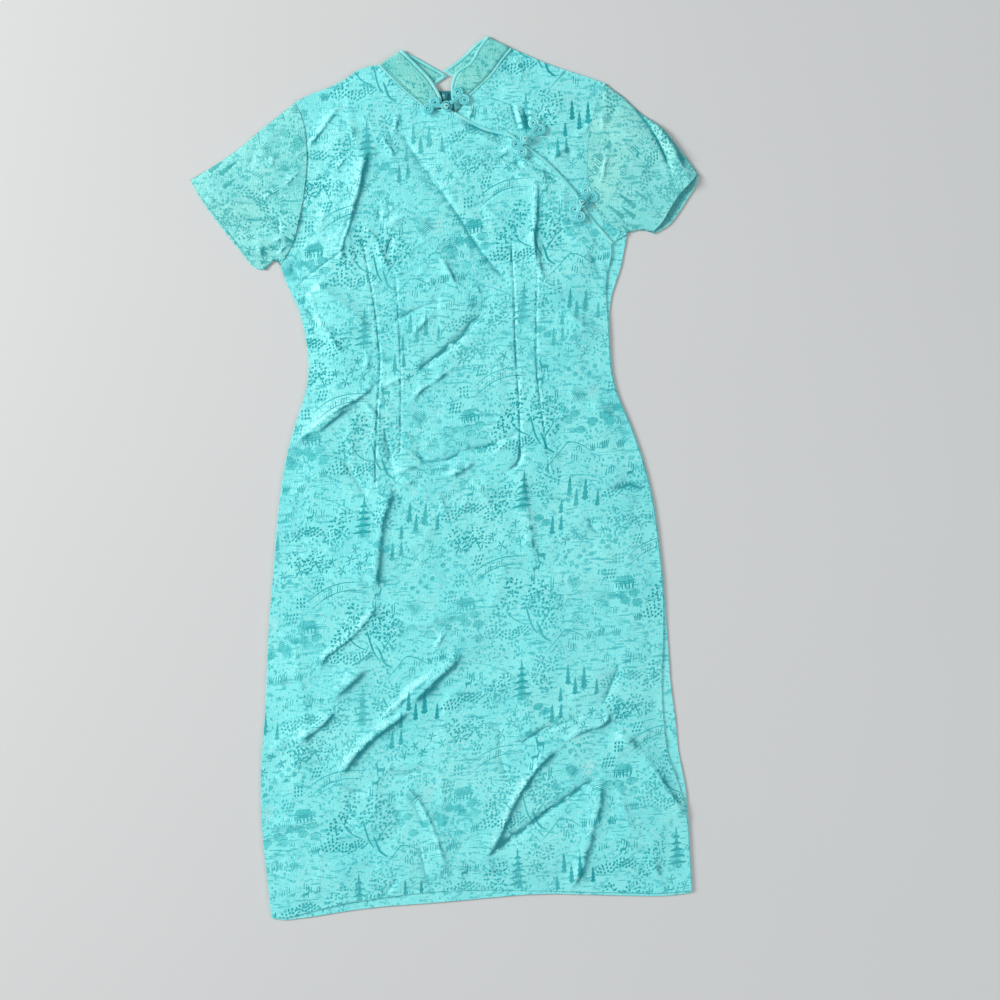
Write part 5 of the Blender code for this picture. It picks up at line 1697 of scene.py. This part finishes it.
def make_collar(side, front, back, outward_sign, seed):
    """Half of the collar, folded over, with the rolled edges of its top, its end and the neck."""
    neck, top, normal = refine(collar_rows(front, back, outward_sign), 3.0)
    trim = BINDING_WIDTH + GAP
    across_it = unit(top - neck)
    along = top[-1] - top[-3]
    outward = unit(along - across_it[-1] * (along @ across_it[-1]))
    inset = np.zeros_like(neck)
    inset[-1] = outward * trim
    start = neck - inset
    end = top - across_it * trim - inset
    along_it = lengths(neck)
    outer = []
    inner = []
    shades = []
    for s in np.linspace(0, 1, COLLAR_COLUMNS + 1):
        line = start * (1 - s) + end * s
        # the band is stiff, and only its outer leaf shows soft dents
        dent = 0.28 * np.sin(along_it / 11.0 + 3.0 * s + seed) + 0.16 * np.sin(along_it / 4.6 + 5.0 * s)
        stitch = (-0.42 * math.exp(-((s * 26 - 2.0) / 0.8) ** 2)
                  - 0.3 * math.exp(-((s * 26 - 23.5) / 0.8) ** 2))
        half = 0.5 * COLLAR_WALL * (1 - 0.35 * (abs(2 * s - 1) ** 6))
        outer.append(line + normal * (half + dent * math.sin(math.pi * s) + stitch)[:, None])
        inner.append(line - normal * half)
        # painted shade along the stitched dents
        shades.append(np.full(len(neck), -2.0 * stitch))
    n = len(neck)
    grid = np.arange((COLLAR_COLUMNS + 1) * n).reshape(COLLAR_COLUMNS + 1, n)
    low = grid + grid.size
    faces = []
    for a, flip in ((grid, False), (low, True)):
        q = np.stack([a[:-1, :-1], a[:-1, 1:], a[1:, 1:], a[1:, :-1]], axis=-1).reshape(-1, 4)
        faces.append(q[:, ::-1] if flip else q)
    for edge_a, edge_b, flip in ((grid[0], low[0], True), (grid[-1], low[-1], False),
                                 (grid[:, 0], low[:, 0], False), (grid[:, -1], low[:, -1], True)):
        q = np.stack([edge_a[:-1], edge_a[1:], edge_b[1:], edge_b[:-1]], axis=-1)
        faces.append(q[:, ::-1] if flip else q)
    faces = np.vstack(faces)
    if outward_sign < 0:
        faces = faces[:, ::-1]
    uv_top = np.stack([np.tile(along_it / along_it[-1], COLLAR_COLUMNS + 1),
                       np.repeat(np.linspace(0, 0.45, COLLAR_COLUMNS + 1), n)], axis=1)
    made = make_object("collar_%s_band" % side, np.vstack(outer + inner), faces,
                       np.zeros(len(faces), int), None, COLLAR, np.vstack([uv_top, uv_top + [0, 0.5]]),
                       np.concatenate(shades + [np.zeros(grid.size)]))
    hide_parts("collar_" + side)

    oval = BINDING_WIDTH / 2
    mitre = (across_it[-1] + outward) * oval
    line = np.vstack([(top - across_it * oval)[:-1], top[-1] - mitre])
    corner = neck[-1] - outward * oval
    steps = np.linspace(0, 1, 9)[1:, None]
    line = np.vstack([line, line[-1] * (1 - steps) + corner * steps])
    widths = np.vstack([across_it[:-1] * oval, mitre, mitre * (1 - steps) + outward * oval * steps])
    ups = np.vstack([normal, np.tile(normal[-1], (8, 1))])
    top_binding = binding("collar_%s_binding" % side, line, widths, ups)
    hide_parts("collar_piping_" + side)

    oval = NECK_WIDTH / 2
    neck_binding = binding("neck_%s_binding" % side, neck - across_it * (GAP + oval),
                           across_it * oval, normal)
    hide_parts("neck_piping_" + side)
    return made, top_binding, neck_binding


def binding(name, line, widths, ups):
    """Rolled strip with an oval section and faint puckers."""
    along = lengths(line)
    puckers = 1 + 0.05 * np.sin(along / 1.9) + 0.03 * np.sin(along / 0.83)
    rings = []
    for a in 2 * math.pi * np.arange(BINDING_SIDES) / BINDING_SIDES:
        c = math.copysign(abs(math.cos(a)) ** 0.8, math.cos(a))
        s = math.copysign(abs(math.sin(a)) ** 0.8, math.sin(a))
        rings.append(line + widths * c + ups * (BINDING_HALF_HEIGHT * s * puckers)[:, None])
    points = np.stack(rings, axis=1).reshape(-1, 3)
    return solid(name, [(points, ring_faces(len(line), BINDING_SIDES))], BINDING)


def make_closing():
    """Rolled binding along the front's diagonal edge."""
    oval = BINDING_WIDTH / 2
    line = even(CLOSING, 150)
    middle = shifted(line, -oval)
    inner = shifted(line, -(BINDING_WIDTH + GAP))
    z = np.convolve(np.pad(front_field.at(inner), 3, mode="edge"), np.ones(7) / 7, mode="valid") - 0.35
    widths = np.column_stack([unit(middle - inner) * oval, np.zeros(len(line))])
    made = binding("closing_binding", np.column_stack([middle, z]), widths,
                   np.tile([0.0, 0.0, 1.0], (len(line), 1)))
    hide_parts("closing_piping")
    return made


# ---------------------------------------------------------------- frogs

Frog = namedtuple("Frog", "name loop_discs knot knot_discs")
FROGS = [
    Frog("neck", [(22, 476), (29.5, 466.5)], (7, 459), [(-7.5, 465), (-16, 457)]),
    Frog("chest", [(114.5, 433), (122.5, 424.5)], (103, 413.5), [(90.5, 408), (98.5, 397.5)]),
    Frog("side", [(176, 346), (184, 338)], (169.5, 331.5), [(160.5, 323.5), (167, 313.5)]),
]
COIL_RADIUS = 7.1
COIL_TURNS = 2.6
CORD_RADIUS = 1.5
PAIR_HALF = 1.05
SECOND_DISC_RISE = 1.1
LOOP_RADIUS = 5.7
KNOT_RADIUS = 4.3


def coil(centre, z, turn):
    """A flat coil of cord with its inner end tucked in."""
    t = np.linspace(0, 1, 88)
    r = 0.9 + (COIL_RADIUS - CORD_RADIUS - 0.9) * np.minimum(1.0, t / 0.64)
    a = math.radians(turn) + 2 * math.pi * COIL_TURNS * t
    height = z + CORD_RADIUS - 0.9 * np.exp(-(t / 0.06) ** 2)
    line = np.stack([centre[0] + r * np.cos(a), centre[1] + r * np.sin(a), height], axis=1)
    return tube(line, CORD_RADIUS * 0.98, 8, 0.95)


def pair(a, b, za, zb):
    """Two cords side by side from a to b."""
    side = np.array([-(b - a)[1], (b - a)[0]]) / np.linalg.norm(b - a)
    t = np.linspace(0, 1, 9)[:, None]
    z = za * (1 - t) + zb * t + CORD_RADIUS
    return [tube(np.hstack([a * (1 - t) + b * t + side * off, z]), CORD_RADIUS * 0.95)
            for off in (-PAIR_HALF, PAIR_HALF)]


def knot_ball(centre, z, radius):
    """A round button knot: one strand woven over and under itself."""
    t = np.linspace(0, 2 * math.pi, 121)[:-1]
    middle = np.array([centre[0], centre[1], z + radius * 0.86])
    made = []
    for turn in (0.0, 0.7):
        lat = 0.95 * np.sin(3 * t + turn)
        lon = 2 * t + turn
        r = (radius - 1.1) * (1 + 0.11 * np.sin(6 * t + 2 * turn))
        out = np.stack([r * np.cos(lat) * np.cos(lon), r * np.cos(lat) * np.sin(lon),
                        0.82 * r * np.sin(lat)], axis=1)
        made.append(tube(middle + out, 1.15, 7, 0.85, up=out, closed=True))
    return made


def resting_height(centre, field):
    """Height at which a disc of cord lies on the cloth."""
    a = np.linspace(0, 2 * math.pi, 12)
    ring = np.stack([centre[0] + 4.5 * np.cos(a), centre[1] + 4.5 * np.sin(a)], axis=1)
    return float(field.at(ring).mean()) + 0.25


def frog_half(discs, heights, turn, turn_step):
    """Two coils with a pair of cords between them. Also gives the middle of the two."""
    first, second = np.array(discs, float)
    made = [coil(p, z + SECOND_DISC_RISE * k, turn + turn_step * k)
            for k, (p, z) in enumerate(zip(discs, heights))]
    z = max(heights) + 0.8
    made += pair(first + (second - first) * 0.3, first + (second - first) * 0.7, z, z)
    return made, (first + second) / 2


def make_frog(frog):
    """A fastening: the half with the loop, and the half with the ball knot in that loop."""
    knot = np.array(frog.knot, float)
    collar_top = COLLAR_FRONT_Z + BINDING_HALF_HEIGHT + 0.1
    if frog.name == "neck":
        loop_z = [collar_top, collar_top]
        knot_z = [collar_top, resting_height(frog.knot_discs[1], front_field) + 0.6]
    else:
        loop_z = [resting_height(p, yoke_field) for p in frog.loop_discs]
        knot_z = [resting_height(p, front_field) for p in frog.knot_discs]
    base = max(*knot_z, *loop_z, float(front_field.at(knot[None])[0])) + 0.4

    parts, middle = frog_half(frog.loop_discs, loop_z, 200, 150)
    towards = unit(knot - middle)
    parts += pair(middle - towards, knot - towards * 5.9, max(loop_z) + 1.2, base + 1.6)
    a = np.linspace(0.32, 2 * math.pi - 0.32, 40) + math.atan2(-towards[1], -towards[0])
    ring = np.stack([knot[0] + LOOP_RADIUS * np.cos(a), knot[1] + LOOP_RADIUS * np.sin(a),
                     np.full_like(a, base + 2.3)], axis=1)
    parts.append(tube(ring, 1.1))
    loop = solid("frog_%s_loop_cord" % frog.name, parts, FROG)
    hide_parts("frog_%s_loop" % frog.name)

    parts, middle = frog_half(frog.knot_discs, knot_z, 20, 170)
    parts += pair(middle, knot, max(knot_z) + 1.0, base + 0.2)
    cords = solid("frog_%s_knot_cord" % frog.name, parts, FROG)
    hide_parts("frog_%s_knot" % frog.name)
    button = solid("frog_%s_button" % frog.name, knot_ball(knot, base, KNOT_RADIUS), BUTTON)
    return [loop, cords, button]


# ---------------------------------------------------------------- zip

ZIP_X = 5.5
ZIP_TOP = 479.0
ZIP_LENGTH = 536.0
TAPE_HALF = 11.0
TAPE_LOW = WALL + GAP
TAPE_ROWS = 60
TOOTH_PITCH = 1.6


def make_tape():
    """Woven tape, thicker along its middle where the teeth are sewn on."""
    side = [(TAPE_HALF, 0.0), (TAPE_HALF - 0.3, 0.45), (TAPE_HALF - 1.2, 0.6), (3.6, 0.55), (2.9, 0.75),
            (2.4, 0.95)]
    profile = [(-x, z) for x, z in side] + side[::-1]
    points = [(ZIP_X + x, y, TAPE_LOW + 0.05 + z)
              for y in np.linspace(ZIP_TOP, ZIP_TOP - ZIP_LENGTH, TAPE_ROWS + 1) for x, z in profile]
    faces = [face[::-1] for face in ring_faces(TAPE_ROWS + 1, len(profile))]
    tape = solid("zip_tape_cloth", [(np.array(points), faces)], TAPE)
    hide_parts("zip_tape")
    return tape


def make_teeth():
    """The closed coil of teeth."""
    teeth = []
    y = ZIP_TOP - 14.0
    while y > ZIP_TOP - ZIP_LENGTH + 13.0:
        teeth.append(tube([(ZIP_X + 2.1 * math.cos(a), y - 0.5 * math.cos(a),
                            TAPE_LOW + 1.0 + 0.35 * math.sin(a)) for a in np.linspace(0, math.pi, 6)],
                          0.34, 5))
        y -= TOOTH_PITCH
    return solid("zip_teeth", teeth, TAPE)


def make_slider():
    """The slider's body, forked at the top, and the bail on it."""
    side = [(3.2, 0), (3.4, -2.0), (3.0, -4.4), (2.2, -8.0), (1.4, -8.5)]
    fork = [(1.6, 0.0), (0.6, -1.4), (-0.6, -1.4), (-1.6, 0.0)]
    plan = [(-x, y) for x, y in side] + side[::-1] + fork
    top = ZIP_TOP - 2.5
    low = TAPE_LOW + 1.05
    layers = [(0.94, low), (1.0, low + 0.25), (1.0, low + 1.3), (0.92, low + 1.6)]
    points = [(ZIP_X + x * share, top - 4.2 + (y + 4.2) * share, z)
              for share, z in layers for x, y in plan]
    bail = [(ZIP_X, top - 1.6, low + 1.4), (ZIP_X, top - 2.4, low + 1.95),
            (ZIP_X, top - 4.6, low + 2.0), (ZIP_X, top - 6.6, low + 1.5)]
    slider = solid("zip_slider_body", [(np.array(points), ring_faces(len(layers), len(plan))),
                                       tube(smooth(bail, 0.5), 0.6, 8, up=(1, 0, 0))], METAL)
    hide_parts("zip_slider")
    return slider


# ---------------------------------------------------------------- stage, in metres

FLOOR_SPAN = 6.0
FLOOR_CELLS = 24
FLOOR_Z = -0.0006


def make_stage():
    """The white paper that the dress lies on."""
    steps = range(FLOOR_CELLS + 1)
    points = [(FLOOR_SPAN * (i / FLOOR_CELLS - 0.5), FLOOR_SPAN * (j / FLOOR_CELLS - 0.5), FLOOR_Z)
              for j in steps for i in steps]
    row = FLOOR_CELLS + 1
    faces = [(j * row + i, j * row + i + 1, (j + 1) * row + i + 1, (j + 1) * row + i)
             for j in range(FLOOR_CELLS) for i in range(FLOOR_CELLS)]
    mesh = bpy.data.meshes.new("floor")
    mesh.from_pydata(points, [], faces)
    made, tree, shader = shader_of("floor_paper", 0.9, 0.1)
    tree.links.new(mix(tree, noise_of(tree, 3.0), (0.725, 0.730, 0.727), (0.742, 0.747, 0.744)),
                   shader.inputs["Base Color"])
    mesh.materials.append(made)
    floor = add("floor", mesh)


def area_light(name, place, aim, size, power, colour):
    """A rectangular light, turned towards its aim."""
    data = bpy.data.lights.new(name, "AREA")
    data.shape = "RECTANGLE"
    data.size, data.size_y = size
    data.energy = power
    data.color = colour
    made = add(name, data)
    made.location = place
    made.rotation_euler = (Vector(aim) - Vector(place)).to_track_quat("-Z", "Y").to_euler()


def make_lights_and_camera():
    """One large light low at the left, a weak one opposite, and a view from straight above."""
    world = bpy.data.worlds.new("studio")
    world.use_nodes = True
    background = world.node_tree.nodes["Background"]
    background.inputs[0].default_value = (0.93, 0.97, 1.0, 1)
    background.inputs[1].default_value = 0.36
    area_light("key", (-3.5, 1.35, 2.25), (0.0, 0.0, 0.0), (1.1, 1.5), 154.0, (1.0, 0.995, 0.98))
    area_light("fill", (1.9, -1.3, 2.4), (0.15, -0.15, 0.0), (2.4, 2.4), 22.0, (0.95, 0.98, 1.0))
    data = bpy.data.cameras.new("camera")
    data.lens = 85
    data.sensor_width = 36
    data.clip_start = 0.1
    camera = add("camera", data)
    camera.location = (0.0503, -0.0343, 2.951)
    camera.rotation_euler = (0, 0, math.radians(-2.7))
    scene = bpy.context.scene
    scene.world = world
    scene.camera = camera
    scene.view_settings.view_transform = "Standard"
    scene.view_settings.look = "None"


# ---------------------------------------------------------------- the dress

make_lights_and_camera()
make_stage()
front = make_front()
yoke = make_yoke()
backs = [make_back("left", FIGURE_START), make_back("right", (-8, -318))]
sleeves = [make_sleeve(side) for side in ("left", "right")]
closing = make_closing()
left_collar = make_collar("left", COLLAR_LEFT_FRONT, COLLAR_LEFT_BACK, 1, 3)
right_collar = make_collar("right", COLLAR_RIGHT_FRONT, COLLAR_RIGHT_BACK, -1, 5)
frogs = [piece for frog in FROGS for piece in make_frog(frog)]
tape = make_tape()
chain = make_teeth()
slider = make_slider()

pieces = {
    "satin_damask": [front, yoke] + backs + sleeves,
    "collar_satin": [left_collar[0], right_collar[0]],
    "binding": [closing, left_collar[1], left_collar[2], right_collar[1], right_collar[2]],
    "frog_cord": frogs,
    "zip_tape": [tape, chain],
    "zip_metal": [slider],
}
for slot, group in pieces.items():
    for piece in group:
        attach(piece, "root")

bpy.context.view_layer.update()
